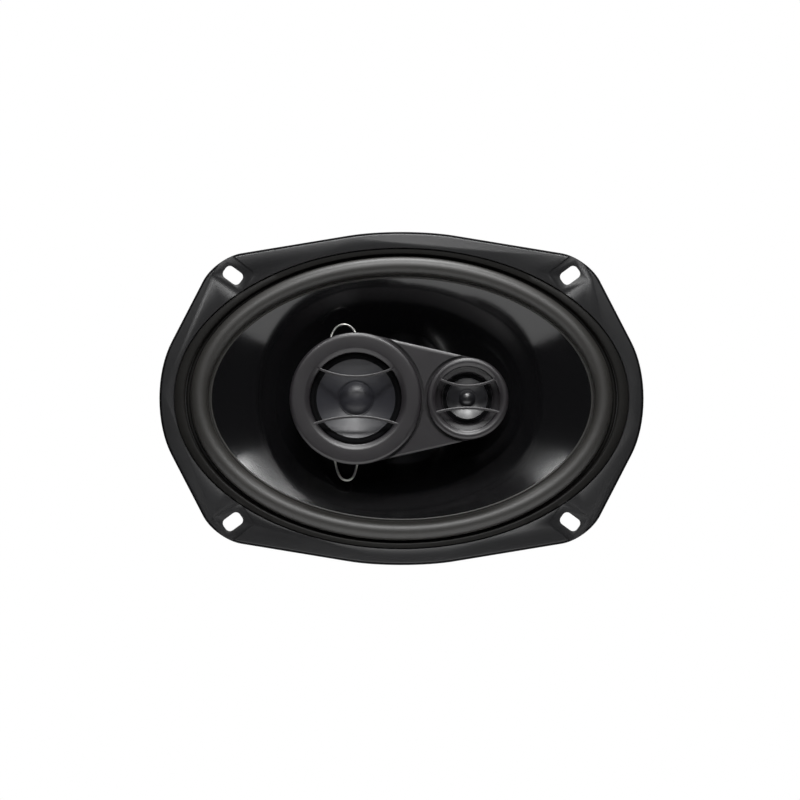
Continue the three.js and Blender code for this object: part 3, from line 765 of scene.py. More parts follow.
def flange_blank(sizes):
    """The flange's outline as a slab: an eight-sided plate, its corners rounded one kind at a time."""
    deselect()
    bpy.ops.mesh.primitive_circle_add(
        vertices=8, radius=TOP_CORNER[0] * MM, fill_type="NGON", location=(0, 0, 0),
        rotation=(math.pi / 2, 0, 0),
    )
    slab = settle(bpy.context.object, "basket_frame_shell")
    edit()
    resize_ring(SIDE_CORNER[0] / TOP_CORNER[0], 1, 0, 0)
    select_points(slab, lambda p: abs(p.x) > 0.001 and abs(p.z) > 0.001)
    diagonal = math.sqrt(0.5)
    resize_ring(SHOULDER[0] / (SIDE_CORNER[0] * diagonal), SHOULDER[1] / (TOP_CORNER[0] * diagonal), 0, 0)
    kinds = (
        (lambda p: abs(p.z) < 0.001, SIDE_CORNER[1]),
        (lambda p: abs(p.x) < 0.001, TOP_CORNER[1]),
        (lambda p: abs(abs(p.x) - SHOULDER[0] * MM) < 1e-4, SHOULDER[2]),
    )
    for wanted, rounded in kinds:
        select_points(slab, wanted)
        bpy.ops.mesh.bevel(offset=rounded * MM, segments=16, affect="VERTICES", profile=0.5)
    bpy.ops.mesh.select_all(action="SELECT")
    bpy.ops.mesh.extrude_region_move(
        TRANSFORM_OT_translate={"value": (0, -FLANGE_FRONT * MM, 0)}
    )
    outward(slab)
    bpy.ops.object.mode_set(mode="EDIT")
    select_edges(slab, lambda a, b: a.y < -0.001 and b.y < -0.001)
    bpy.ops.mesh.bevel(offset=sizes.hem * MM, segments=5, affect="EDGES")
    leave()
    return slab


def slot_tools():
    """Cutters for the four screw slots and the pressed pads round them."""
    tools = []
    for x in (SLOT_PLACE[0], -SLOT_PLACE[0]):
        for up in (SLOT_PLACE[1], -SLOT_PLACE[1]):
            turn = math.atan2(up, x)
            pad_place = (x, up, FLANGE_FRONT - PAD_DEPTH + SLOT_PAD[2] / 2)
            tools.append(block("pad", SLOT_PAD, turn, PAD_CORNER, pad_place))
            tools.append(block("slot", SLOT, turn, SLOT_CORNER, (x, up, 0)))
    return tools


def window_tool(first, second):
    """A cutter for the window between the legs at two angles, with rounded corners."""
    bottom, top = WINDOW
    middle = math.radians((first + second) / 2)
    spread = math.radians(second - first) / 2
    near, far = 52, 150
    inner = near * math.tan(spread) - LEG_WIDTH / 2 / math.cos(spread)
    outer = far * math.tan(spread) - LEG_WIDTH / 2 / math.cos(spread)
    tool = cube((far - near, top - bottom, 2 * outer))
    middle_x = (near + far) / 2 * MM
    bpy.ops.transform.translate(value=(middle_x, -(top + bottom) / 2 * MM, 0))
    select_points(tool, lambda p: p.x < middle_x)
    bpy.ops.transform.resize(value=(1, 1, inner / outer), center_override=(0, 0, 0))
    bpy.ops.mesh.select_all(action="SELECT")
    bpy.ops.mesh.bevel(offset=WINDOW_CORNER * MM, segments=4, affect="EDGES")
    leave()
    tool.rotation_euler = (0, -middle, 0)
    return settle(tool, "window")


def basket_wall(sides):
    """The pressed wall from the flange down to the base, with the spider's shelf."""
    profile = [
        (90.1, 1.4), (90.1, -0.6), (89.6, -4), (88, -10), (85, -15.4), (81.3, -20), (75.4, -25.8),
        (68, -32), (61.6, -36.4), (56.6, -39.4), (54.4, -40.9), (53.4, -42.1), (52, -42.45),
        (49, -42.45), (47.5, -42.9), (47.1, -44.2), (46.4, BASE_REAR), (24, BASE_REAR),
        (24, BASE_REAR + 1.45), (44.2, BASE_REAR + 1.45), (45, -49.8), (45.7, -43.4),
        (46.5, -41.4), (48, -41), (52.2, -41), (53.4, -40.1), (55.4, -38.5), (60.6, -35.3),
        (66.9, -30.9), (74.2, -24.8), (80, -19.1), (83.6, -14.6), (86.6, -9.5), (88.2, -3.8),
        (WALL_INSIDE, -0.6), (WALL_INSIDE, 1.4),
    ]
    return turned("wall", [basket_ring(*row) for row in profile], sides)


def rivet_places():
    """Where the four rivets of the top plate stand, as x and up."""
    side = RIVET_CIRCLE * math.sqrt(0.5)
    return [(x, up) for x in (side, -side) for up in (side, -side)]


def paint_hem(basket):
    """Gives the rolled edge outside the flange's flat face a dull near-black finish of painted shade."""
    basket.data.materials.append(finish_for("painted_shade_black"))
    for face in basket.data.polygons:
        outside = (face.center.x / RECESS[0] / MM) ** 2 + (face.center.z / RECESS[1] / MM) ** 2 > 1.02
        across = Vector((face.center.x, face.center.z)).normalized()
        leaning = Vector((face.normal.x, face.normal.z)).dot(across)
        if outside and face.center.y < 0.0001 and leaning > 0.25:
            face.material_index = 1


class SPEAKER_OT_basket(bpy.types.Operator):
    """Presses the steel basket: flange, slots, ledge, wall, legs and base"""

    bl_idname = "speaker.basket"
    bl_label = "Basket"

    def execute(self, context):
        sizes = context.scene.speaker_sizes
        slab = flange_blank(sizes)
        hole = [basket_ring(WALL_INSIDE, -3), basket_ring(WALL_INSIDE, 6)]
        recess = [(*RECESS, LEDGE), (*RECESS, 6)]
        cut(slab, turned("hole", hole, sizes.sides, hollow=False),
            turned("recess", recess, sizes.sides, hollow=False), *slot_tools())
        wall = basket_wall(sizes.sides)
        angles = (*LEG_ANGLES, LEG_ANGLES[0] + 360)
        for first, second in zip(angles, angles[1:]):
            cut(wall, window_tool(first, second))
        for x, up in rivet_places():
            cut(wall, rod("rivet_hole", RIVET_HOLE, BASE_REAR - 2, BASE_REAR + 4, x, up))
        basket = fuse(slab, wall)
        outward(basket)
        soften(basket, 0.3, 2, 32)
        stand_for(basket, "basket_frame")
        paint_hem(basket)
        return {"FINISHED"}


def rod(name, radius, rear, front, x=0.0, up=0.0, sides=32):
    """A plain round bar along the speaker's axis, as a blank or a cutter."""
    deselect()
    bpy.ops.mesh.primitive_cylinder_add(
        vertices=sides, radius=radius * MM, depth=(front - rear) * MM,
        location=at(x, up, (front + rear) / 2), rotation=(math.pi / 2, 0, 0),
    )
    return settle(bpy.context.object, name)


# ---- woofer ----

LIP = (88.9, 92.2, 2.3)  # mean radii of the surround's lip, and its front
ROLL = (77.4, 86.45)  # mean radii of the roll
FOOT = 1.3
SKIN = 0.6
CONE_WALL = 0.8
CONE_REAR = -33.0
CONE_FRONT = 0.4


def arc(centre, radius_x, radius_y, start, end, steps):
    """Points of an arc in (radius, forward), from start to end degrees."""
    points = []
    for i in range(steps + 1):
        angle = math.radians(start + (end - start) * i / steps)
        points.append((centre[0] + radius_x * math.cos(angle), centre[1] + radius_y * math.sin(angle)))
    return points


def surround_profile(sizes):
    """Lip, groove, half roll and inner flat, front side then back side."""
    inner, outer = ROLL
    lip, rim, top = LIP
    middle = (inner + outer) / 2
    half = (outer - inner) / 2
    low = FOOT - sizes.groove
    flat = FOOT - 0.45
    front = [(CONE_OVAL[1], CONE_FRONT + 0.15), (CONE_OVAL[1] + 0.35, flat), (inner - 0.7, flat)]
    front += [(inner - 0.5, flat - 0.2), (inner - 0.1, flat - 0.2)]
    front += arc((middle, FOOT), half, sizes.roll_height, 180, 0, 20)
    front += [(outer + 0.1, low + 0.5), (outer + 0.45, low), (lip - 1.3, low), (lip - 1, low + 0.4)]
    front += [(lip - 0.6, top - 0.6), (lip - 0.1, top - 0.08), (lip + 0.4, top)]
    front += [(rim - 0.3, top), (rim, top - 0.3)]
    back = [(rim, LEDGE + 0.3), (lip - 0.1, LEDGE + 0.3), (lip - 0.6, low - 0.1)]
    back += [(lip - 1.2, low - 0.5), (outer + 0.3, low - 0.5), (outer - 0.4, low + 0.2)]
    back += arc((middle, FOOT - SKIN), half - SKIN, sizes.roll_height, 0, 180, 16)
    back += [(inner + 0.2, CONE_FRONT + 0.1), (CONE_OVAL[1], CONE_FRONT + 0.1)]
    return front + back


def oval_radius(place):
    """Mean radius, between the roll's two edges, of the oval ring that a point lies on."""
    low, high = ROLL
    for _ in range(24):
        middle = (low + high) / 2
        if outside_oval(place, middle):
            low = middle
        else:
            high = middle
    return low


def outside_oval(place, radius):
    """Whether a point lies outside the surround's ring of that mean radius."""
    width, height, _ = cone_ring(radius, 0)
    return (place.x / MM / width) ** 2 + (place.z / MM / height) ** 2 > 1


def round_radius(x=0.0):
    """A measure of how far a point lies from the axis at x."""
    return lambda place: math.hypot(place.x / MM - x, place.z / MM)


def bend(piece, body, inner, outer, radius_of_point):
    """Makes a ring follow the frame outside and its moving body inside, and bend in between.

    inner and outer are the radii in mm where the bending ends.
    """
    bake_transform(piece, "frame", body, start=(0, 0, 0), end=(0, -1, 0))
    for point, weight in zip(piece.data.vertices, piece.data.attributes["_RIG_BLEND"].data):
        part = 1 - share(radius_of_point(point.co), inner, outer)
        weight.value = part * part * (3 - 2 * part)


def corrugations(first, last, middle, swing, waves, steps):
    """A wavy face from one radius to another, as (radius, forward) points."""
    points = []
    for i in range(1, steps + 1):
        angle = math.tau * waves * i / steps
        points.append((first + (last - first) * i / steps, middle + swing * math.sin(angle)))
    return points


def cone_forward(radius, flare):
    """Place of the cone's front at a mean radius."""
    part = share(radius, CONE_OVAL[0], CONE_OVAL[1])
    return CONE_REAR + (CONE_FRONT - CONE_REAR) * part ** flare


def darken_lip(surround):
    """Gives the faces outside the roll the lip's finish, which is darkened as painted shade."""
    surround.data.materials.append(finish_for("lip_rubber_painted_shade"))
    for face in surround.data.polygons:
        if outside_oval(face.center, ROLL[1] + 0.2):
            face.material_index = 1


class SPEAKER_OT_surround(bpy.types.Operator):
    """Moulds the woofer's rubber surround, which bends between the basket and the cone"""

    bl_idname = "speaker.surround"
    bl_label = "Woofer surround"

    def execute(self, context):
        sizes = context.scene.speaker_sizes
        rings = [cone_ring(*row) for row in surround_profile(sizes)]
        piece = smooth(turned("woofer_surround_roll", rings, sizes.sides), 50)
        stand_for(piece, "woofer_surround", None)
        darken_lip(piece)
        bend(piece, "woofer_diaphragm", *ROLL, oval_radius)
        return {"FINISHED"}


class SPEAKER_OT_cone(bpy.types.Operator):
    """Moulds the glossy woofer cone with its flat outer lip and its neck"""

    bl_idname = "speaker.cone"
    bl_label = "Woofer cone"

    def execute(self, context):
        sizes = context.scene.speaker_sizes
        steps = 40
        inner, outer, _ = CONE_OVAL
        front = []
        for i in range(steps + 1):
            radius = inner + (outer - inner) * i / steps
            front.append((radius, cone_forward(radius, sizes.flare)))
        front += [(outer + 0.5, CONE_FRONT), (outer + 1.3, CONE_FRONT)]
        rings = [cone_ring(*row) for row in thin(front, CONE_WALL)]
        piece = smooth(turned("woofer_cone_shell", rings, sizes.sides), 20)
        stand_for(piece, "woofer_cone", "woofer_diaphragm")
        return {"FINISHED"}


class SPEAKER_OT_spider(bpy.types.Operator):
    """Presses the corrugated spider, which bends between the basket and the voice coil"""

    bl_idname = "speaker.spider"
    bl_label = "Spider"

    def execute(self, context):
        rear, front = forward_of("spider")
        outer = radius_of("spider")
        inner, first, last, waves, wall = 19.2, 22.5, 47.2, 6, 0.5
        middle = (rear + wall + front) / 2
        swing = (front - rear - wall) / 2
        face = [(inner, middle), (first, middle)]
        face += corrugations(first, last, middle, swing, waves, waves * 8) + [(outer, middle)]
        piece = smooth(spun("spider_cloth_disc", thin(face, wall), 96), 60)
        stand_for(piece, "spider", None)
        bend(piece, "woofer_diaphragm", first, last, round_radius())
        return {"FINISHED"}


class SPEAKER_OT_voice_coil(bpy.types.Operator):
    """Rolls the voice coil's former, its copper winding and the dust ring in front"""

    bl_idname = "speaker.voice_coil"
    bl_label = "Voice coil and dust ring"

    def execute(self, context):
        rear, front = forward_of("voice_coil_former")
        former = spun("former_tube", ring_profile(18.5, 18.9, rear, front), 96)
        stand_for(smooth(former), "voice_coil_former", "woofer_diaphragm")
        rear, front = forward_of("voice_coil_winding")
        outer = radius_of("voice_coil_winding")
        coil = [(19.05, rear), (outer - 0.25, rear), (outer, rear + 0.3), (outer, front - 0.3),
                (outer - 0.25, front), (19.05, front)]
        winding = spun("winding_coil", coil, 96)
        stand_for(smooth(winding, 60), "voice_coil_winding", "woofer_diaphragm")
        rear, front = forward_of("dust_ring")
        face = [(18.2, rear + 1.2), (16, rear + 1.9), (12.4, rear + 3.1), (10.4, front - 0.1),
                (8, front), (7.6, front - 0.2)]
        back = [(7.6, front - 1), (10.4, front - 1.2), (12.4, rear + 2.1), (16, rear + 0.8),
                (18.2, rear)]
        ring = spun("dust_ring_felt", face + back, 80)
        stand_for(smooth(ring, 60), "dust_ring", "woofer_diaphragm")
        return {"FINISHED"}


# ---- woofer motor ----


def turned_part(name, profile, sides, x=0.0, round_off=0.35, segments=2, hollow=True):
    """A round part from (radius, forward) points, with its sharp edges broken."""
    piece = spun(name, profile, sides, x, hollow)
    return soften(piece, round_off, segments) if round_off else smooth(piece)


def ring_profile(inner, outer, rear, front):
    """Section of a plain ring."""
    return [(inner, rear), (outer, rear), (outer, front), (inner, front)]


class SPEAKER_OT_motor(bpy.types.Operator):
    """Turns the woofer's top plate, magnet and yoke, and sets the rivets"""

    bl_idname = "speaker.motor"
    bl_label = "Woofer motor"

    def execute(self, context):
        rear, front = forward_of("top_plate")
        plate = turned_part("top_plate_disc", ring_profile(20.4, 44.5, rear, front), 128)
        for x, up in rivet_places():
            cut(plate, rod("rivet_hole", RIVET_HOLE, front - 4.8, front + 2, x, up))
        stand_for(smooth(plate), "top_plate")
        rear, front = forward_of("magnet")
        magnet = ring_profile(26, radius_of("magnet"), rear, front)
        stand_for(turned_part("magnet_ring", magnet, 128, round_off=0.9, segments=2), "magnet")
        stand_for(turned_part("yoke_turning", yoke_profile(), 128, round_off=0.3), "t_yoke")
        head = forward_of("top_plate_rivet_1")
        rivet = [(1.7, head[0]), (1.7, head[1] - 1), (3, head[1] - 1), (2.9, head[1] - 0.55),
                 (2.3, head[1] - 0.15), (1.2, head[1])]
        shaped = smooth(spun("plate_rivet", rivet, 28, hollow=False), 50)
        for node in [f"top_plate_rivet_{i}" for i in (1, 2, 3, 4)]:
            low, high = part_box(node)
            twin = copy_of(shaped, node.removeprefix("top_"))
            twin.location = ((low[0] + high[0]) / 2, 0, (low[2] + high[2]) / 2)
            stand_for(twin, node)
        bpy.data.objects.remove(shaped)
        return {"FINISHED"}


def yoke_profile():
    """Section of the yoke: back plate with a nut pocket, and the bored pole."""
    rear, front = forward_of("t_yoke")
    outer = radius_of("t_yoke")
    plate = rear + 6
    pocket = rear + 6.6
    return [
        (8.6, rear), (30, rear), (30.4, rear + 0.35), (31.4, rear + 0.35), (31.8, rear),
        (outer - 1, rear), (outer, rear + 1), (outer, plate), (18, plate), (18, front),
        (4.8, front), (4.8, pocket), (8.6, pocket),
    ]


class SPEAKER_OT_post(bpy.types.Operator):
    """Turns the hollow centre post with its threaded foot, and cuts the nut"""

    bl_idname = "speaker.post"
    bl_label = "Centre post and nut"

    def execute(self, context):
        rear, front = forward_of("centre_post")
        nut_rear, nut_front = forward_of("post_nut")
        seat = forward_of("t_yoke")[1] + 0.3
        shoulder = forward_of("pod_housing")[0] - 0.3
        profile = [(2.6, rear), (4.1, rear)]
        pitch = 0.8
        turns = int((nut_front + 1 - rear) / pitch)
        for i in range(turns):
            start = rear + 0.3 + i * pitch
            profile += [(4.05, start), (4.4, start + pitch * 0.5)]
        profile += [(4.4, rear + turns * pitch + 1), (4.4, seat), (6, seat), (6, shoulder),
                    (4.4, shoulder), (4.4, front), (2.6, front)]
        post = spun("post_tube", profile, 64)
        stand_for(smooth(post, 30), "centre_post")
        nut = rod("nut_hexagon", 7.5, nut_rear, nut_front, sides=6)
        chamfer = [(0.01, nut_rear - 0.05), (6.6, nut_rear - 0.05), (9.6, nut_rear + 1.4),
                   (9.6, nut_front - 1.4), (6.6, nut_front + 0.05), (0.01, nut_front + 0.05)]
        body = spun("chamfer", chamfer, 64, hollow=False)
        combine(nut, body, "INTERSECT")
        cut(nut, rod("bore", 4.55, nut_rear - 2, nut_front + 2, sides=64))
        stand_for(soften(nut, 0.12, 2), "post_nut")
        return {"FINISHED"}


# ---- terminals and wiring ----

BOARD = {"up": 64.58, "forward": -26, "tilt": 29.6, "width": 26, "length": 17, "thick": 1.6}
GAP = 0.3
BLADES = (("positive_terminal", 7, 6.3), ("negative_terminal", -7, 4.8))
BLADE = {"thick": 0.8, "foot": 7.5, "reach": 17.5, "jog": 0.5, "latch": 12.5}
RIVET_BORE = 1.5
LATCH_HOLE = 0.9
# Radii of the wires.
TINSEL = 0.55
FEED_WIRE = 0.7
BARE_WIRE = 0.6
# Where the midrange's bare leads leave the housing, as (x, up).
UPPER_EXITS = ((-33.6, 25.4), (-22.9, 27.2))
LOWER_EXITS = ((-31.8, -25.6), (-22, -27))


def onto_board(piece):
    """Moves a piece modelled flat at the origin, facing up, onto the board on the upper leg."""
    piece.rotation_euler = (-math.radians(BOARD["tilt"]), 0, 0)
    piece.location = at(0, BOARD["up"], BOARD["forward"])
    return settle(piece)


def flat_block(name, size, place, corner=0.0):
    """A plate of (across, along, thick) lying flat, its corners rounded."""
    piece = cube(size)
    if corner:
        select_edges(piece, lambda a, b: abs(a.z - b.z) > size[2] * MM * 0.5)
        bpy.ops.mesh.bevel(offset=corner * MM, segments=4, affect="EDGES")
    bpy.ops.mesh.select_all(action="SELECT")
    bpy.ops.transform.translate(value=[value * MM for value in place])
    leave()
    return settle(piece, name)


def flat_rod(name, radius, low, high, x=0.0, along=0.0, sides=24):
    """A round bar standing up, as a cutter for a flat plate."""
    deselect()
    bpy.ops.mesh.primitive_cylinder_add(
        vertices=sides, radius=radius * MM, depth=(high - low) * MM,
        location=(x * MM, along * MM, (low + high) / 2 * MM),
    )
    return settle(bpy.context.object, name)


def flat_rivet(name, x, seat, tail):
    """A round-headed rivet standing up, with a dished centre."""
    deselect()
    rings = [(1.25, tail), (1.25, seat), (2.2, seat), (2.15, seat + 0.35), (1.8, seat + 0.7),
             (1.2, seat + 0.8), (0.8, seat + 0.55)]
    piece = turned(name, [round_ring(radius, -height) for radius, height in rings], 28, hollow=False)
    piece.rotation_euler = (-math.pi / 2, 0, 0)
    settle(piece)
    piece.location = (x * MM, 0, 0)
    outward(settle(piece))
    return smooth(piece, 50)


def blade_blank(x, width, seat):
    """A blade pressed from strip: its foot, the jog, and the tip drawn out and tapered."""
    middle = seat + BLADE["thick"] / 2
    blade = flat_block("blade", (width, BLADE["foot"], BLADE["thick"]), (x, 0, middle))
    take(blade)
    bpy.ops.object.mode_set(mode="EDIT")
    end = BLADE["foot"] / 2
    steps = ((0.8, BLADE["jog"]), (BLADE["reach"] - end - 2, 0), (1.2, 0))
    for length, rise in steps:
        select_points(blade, lambda p: p.y > (end - 0.05) * MM)
        bpy.ops.mesh.extrude_region_move(
            TRANSFORM_OT_translate={"value": (0, length * MM, rise * MM)}
        )
        end += length
    middle += BLADE["jog"]
    select_points(blade, lambda p: p.y > (end - 0.05) * MM)
    bpy.ops.transform.resize(value=(0.72, 1, 0.6), center_override=(x * MM, 0, middle * MM))
    leave()
    return outward(blade)


class SPEAKER_OT_terminals(bpy.types.Operator):
    """Makes the terminal board, its two blades and their rivets"""

    bl_idname = "speaker.terminals"
    bl_label = "Terminals"

    def execute(self, context):
        top = GAP + BOARD["thick"]
        size = (BOARD["width"], BOARD["length"], BOARD["thick"])
        board = flat_block("board_plate", size, (0, 0, GAP + BOARD["thick"] / 2), 1.6)
        for x in (0, BLADES[0][1], BLADES[1][1]):
            cut(board, flat_rod("hole", RIVET_BORE, -1, top + 1, x))
        stand_for(onto_board(soften(board, 0.12, 2)), "terminal_board")
        stand_for(onto_board(flat_rivet("board_rivet_head", 0, top + 0.15, -2.6)), "board_rivet")
        seat = top + GAP
        for name, x, width in BLADES:
            blade = blade_blank(x, width, seat)
            cut(blade, flat_rod("hole", RIVET_BORE, seat - 1, seat + 2, x),
                flat_rod("latch", LATCH_HOLE, seat - 1, seat + 3, x, BLADE["latch"]))
            blade.name = name + "_blade"
            stand_for(onto_board(soften(blade, 0.1, 2)), name)
            rivet = flat_rivet(name + "_head", x, seat + 0.8 + 0.15, GAP)
            stand_for(onto_board(rivet), name + "_rivet")
        return {"FINISHED"}


def tinsel_route(side, landing, forward):
    """Route of a flexible lead from the board to the back of the cone."""
    return [
        (side * 10.6, 66.6, -20.5), (side * 13.2, 66.2, -22.5), (side * 15.2, 60.5, -26.5),
        (side * 13.6, 51, -31), (side * 11, 40, -31), (side * 9.2, landing, forward),
    ]


def feed_route(side):
    """Route of a pod wire from the board, over the motor and up through the post."""
    return [
        (side * 3, 61.8, -38.5), (side * 3, 58.2, -45), (side * 3, 51.6, -53),
        (side * 3, 50, -60), (side * 3, 49.6, -72), (side * 3, 48.6, -80),
        (side * 2.6, 43, -84.6), (side * 2, 30, -85), (side * 1.2, 10, -85),
        (side * 1, 2.4, -84.4), (side * 1, 0, -80), (side * 1, 0, -60), (side * 1, 0, -20),
        (side * 1, 0, -4), (side * 1, 0, -1), (1.6 + side * 0.6, side * 1.2, 2.4),
        (5.4, side * 1.8, 5.2),
    ]


def bowed_route(start, end, bow, depth):
    """Route of a bare lead out of the housing's floor, past its edge and back in."""
    side = math.copysign(1, bow[1])
    return [
        (*start, 3.2), (*start, -0.6), (start[0] - 0.8, start[1] + side * 5.4, -depth),
        (*bow, -depth), (end[0] + 0.3, end[1] + side * 5, -depth), (*end, -0.6), (*end, 3.2),
    ]


class SPEAKER_OT_wiring(bpy.types.Operator):
    """Bends the tinsel leads, the pod's feed wires and the midrange's bare leads"""

    bl_idname = "speaker.wiring"
    bl_label = "Wiring"

    def execute(self, context):
        flare = context.scene.speaker_sizes.flare
        landing = 30
        end = cone_forward(landing, flare) - CONE_WALL - 3.6
        for side, sign in ((1, "positive"), (-1, "negative")):
            lead = wire(f"tinsel_braid_{sign}", tinsel_route(side, landing, end), TINSEL)
            stand_for(lead, f"tinsel_lead_{sign}", None)
            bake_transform(lead, "frame", "woofer_diaphragm", start=at(0, 62, -26), end=at(0, 31, -26))
            feed = wire(f"feed_wire_{sign}", feed_route(side), FEED_WIRE)
            stand_for(feed, f"pod_feed_wire_{sign}")
        for place, route in (
            ("upper", bowed_route(*UPPER_EXITS, (-28.6, 36.4), 2.6)),
            ("lower", bowed_route(*LOWER_EXITS, (-26.8, -40.2), 3.4)),
        ):
            stand_for(wire("bare_lead_" + place, route, BARE_WIRE), "midrange_lead_" + place)
        return {"FINISHED"}


# ---- pod ----

# Outer and inner radius of each cup, and the rear of its outside and inside.
MID_CUP = (18.5, 16.6, -13, -11)
TWEETER_CUP = (15.6, 13.9, -5.2, -3.4)


def pod_prism(name, inset, rear, front, taper=0.0):
    """The hull round two round blanks, one at each driver. taper shrinks its rear."""
    mid = rod(name, MID_RADIUS - inset, rear, front, MID_X, sides=128)
    tweeter = rod("blank", TWEETER_RADIUS - inset, rear, front, TWEETER_X, sides=128)
    deselect()
    tweeter.select_set(True)
    mid.select_set(True)
    bpy.context.view_layer.objects.active = mid
    bpy.ops.object.join()
    edit()
    bpy.ops.mesh.convex_hull(use_existing_faces=False, delete_unused=True)
    bpy.ops.mesh.select_all(action="SELECT")
    bpy.ops.mesh.dissolve_limited(angle_limit=math.radians(0.5))
    if taper:
        select_points(mid, lambda p: p.y > -(rear + front) / 2 * MM)
        resize_ring(1 - taper, 1 - taper * 1.6, 0, rear)
    return outward(mid)


class SPEAKER_OT_pod_housing(bpy.types.Operator):
    """Moulds the pod's rear tub with its two cups and the boss on the post"""

    bl_idname = "speaker.pod_housing"
    bl_label = "Pod housing"

    def execute(self, context):
        front = forward_of("pod_housing")[1]
        tub = pod_prism("pod_tub", 0.8, 0, front)
        bores = []
        for (outer, inner, rear, floor), x in ((MID_CUP, MID_X), (TWEETER_CUP, TWEETER_X)):
            fuse(tub, rod("cup", outer, rear, 1, x, sides=96))
            bores.append(rod("bore", inner, floor, 4, x, sides=96))
        fuse(tub, rod("boss", 8, MID_CUP[2], 1, sides=64))
        bores.append(rod("bore", 4.7, MID_CUP[2] - 2, 4, sides=48))
        cut(tub, pod_prism("inside", 2.4, 2, front + 2), *bores)
        for x, up in UPPER_EXITS + LOWER_EXITS:
            cut(tub, rod("exit", 0.9, -2, 4, x, up, 20))
        outward(tub)
        stand_for(soften(tub, 0.5, 3), "pod_housing")
        return {"FINISHED"}


class SPEAKER_OT_pod_faceplate(bpy.types.Operator):
    """Moulds the pod's front plate with its bevelled edge"""

    bl_idname = "speaker.pod_faceplate"
    bl_label = "Pod front plate"

    def execute(self, context):
        sizes = context.scene.speaker_sizes
        plate = pod_prism("pod_plate", 0, PLATE_REAR, PLATE_FRONT)
        take(plate)
        bpy.ops.object.mode_set(mode="EDIT")
        limit = -(PLATE_FRONT - 0.1) * MM
        select_edges(plate, lambda a, b: a.y < limit and b.y < limit)
        bpy.ops.mesh.bevel(offset=sizes.chamfer * MM, segments=3, affect="EDGES")
        leave()
        drivers = ((MID_X, MID_RADIUS), (TWEETER_X, TWEETER_RADIUS))
        for x, radius in drivers:
            mouth = radius - MOUTH_MARGIN
            cut(plate, rod("mouth", mouth, PLATE_REAR - 2, PLATE_FRONT + 2, x, sides=128))
        for x, radius in drivers:
            groove = ring_profile(radius - 1, radius + 1.3, PLATE_FRONT - 1.9, PLATE_FRONT + 2)
            cut(plate, spun("groove", groove, 128, x))
        outward(plate)
        stand_for(smooth(plate, 30), "pod_faceplate")
        return {"FINISHED"}


MOUTH_MARGIN = 2.1  # how far the plate runs in under each ring
# Radius of each ring's opening, and the width of its inner bevel.
MID_MOUTH = (22.2, 2)
TWEETER_MOUTH = (15.4, 1.7)
# Each guard bar's height at its middle, bend radius (negative bows upward) and half reach.
MID_BARS = ((10.6, 42, 21.2), (-8.8, -60, 20.8))
TWEETER_BARS = ((6.1, 28.5, 14.8), (-4.6, -56, 15.2))


def guard_bar(bar, width, rear, front):
    """A bowed bar, spun from its section."""
    middle, bend, reach = bar
    radius = abs(bend)
    centre = at(0, middle + bend, (rear + front) / 2)
    half = math.asin(reach / radius)
    top = middle + bend - math.copysign(radius, bend)
    section = block("bar", (0.02, width, front - rear), 0, 0, (0, top, (rear + front) / 2))
    edit()
    bpy.ops.mesh.delete(type="ONLY_FACE")
    select_points(section, lambda p: p.x > 0)
    bpy.ops.mesh.delete(type="VERT")
    bpy.ops.mesh.select_all(action="SELECT")
    bpy.ops.mesh.bevel(offset=width * 0.3 * MM, segments=3, affect="VERTICES")
    bpy.ops.mesh.select_all(action="SELECT")
    bpy.ops.mesh.edge_face_add()
    bpy.ops.transform.rotate(value=-half, orient_axis="Y", center_override=centre)
    bpy.ops.mesh.spin(steps=28, angle=2 * half, center=centre, axis=(0, 1, 0))
    return outward(section)


def bezel_profile(outer, opening, bevel):
    """Section of a pod ring: spigot, flat rim, rounded shoulders and a dished inner bevel."""
    spigot = outer - 2.4
    seat = PLATE_FRONT + 0.3
    front = RINGS_FRONT
    crown = opening + bevel
    return [
        (opening, PLATE_REAR), (spigot, PLATE_REAR), (spigot, seat), (outer, seat),
        (outer, front - 1.5), (outer - 0.2, front - 0.85), (outer - 0.6, front - 0.35),
        (outer - 1.3, front - 0.05), (outer - 2.2, front), (crown + 0.9, front),
        (crown + 0.4, front - 0.06), (crown, front - 0.22),
        (opening + 0.4, front - 0.22 - (bevel - 0.4) * 0.46), (opening + 0.1, front - 1.3),
        (opening, front - 1.8),
    ]


def bezel(name, x, outer, opening, bevel, bars, width):
    """A pod ring with its two guard bars, in one moulding."""
    ring = spun(name, bezel_profile(outer, opening, bevel), 144)
    for bar in bars:
        fuse(ring, guard_bar(bar, width, RINGS_FRONT - 2.1, RINGS_FRONT - 0.6))
    ring.location = (x * MM, 0, 0)
    return smooth(outward(settle(ring)), 42)


class SPEAKER_OT_bezels(bpy.types.Operator):
    """Moulds the raised rings of the midrange and the tweeter with their guard bars"""

    bl_idname = "speaker.bezels"
    bl_label = "Pod rings"

    def execute(self, context):
        width = context.scene.speaker_sizes.bar
        for driver, x, outer, mouth, bars in (
            ("midrange", MID_X, MID_RADIUS, MID_MOUTH, MID_BARS),
            ("tweeter", TWEETER_X, TWEETER_RADIUS, TWEETER_MOUTH, TWEETER_BARS),
        ):
            ring = bezel(driver + "_ring", x, outer, *mouth, bars, width)
            stand_for(ring, driver + "_bezel")
        return {"FINISHED"}


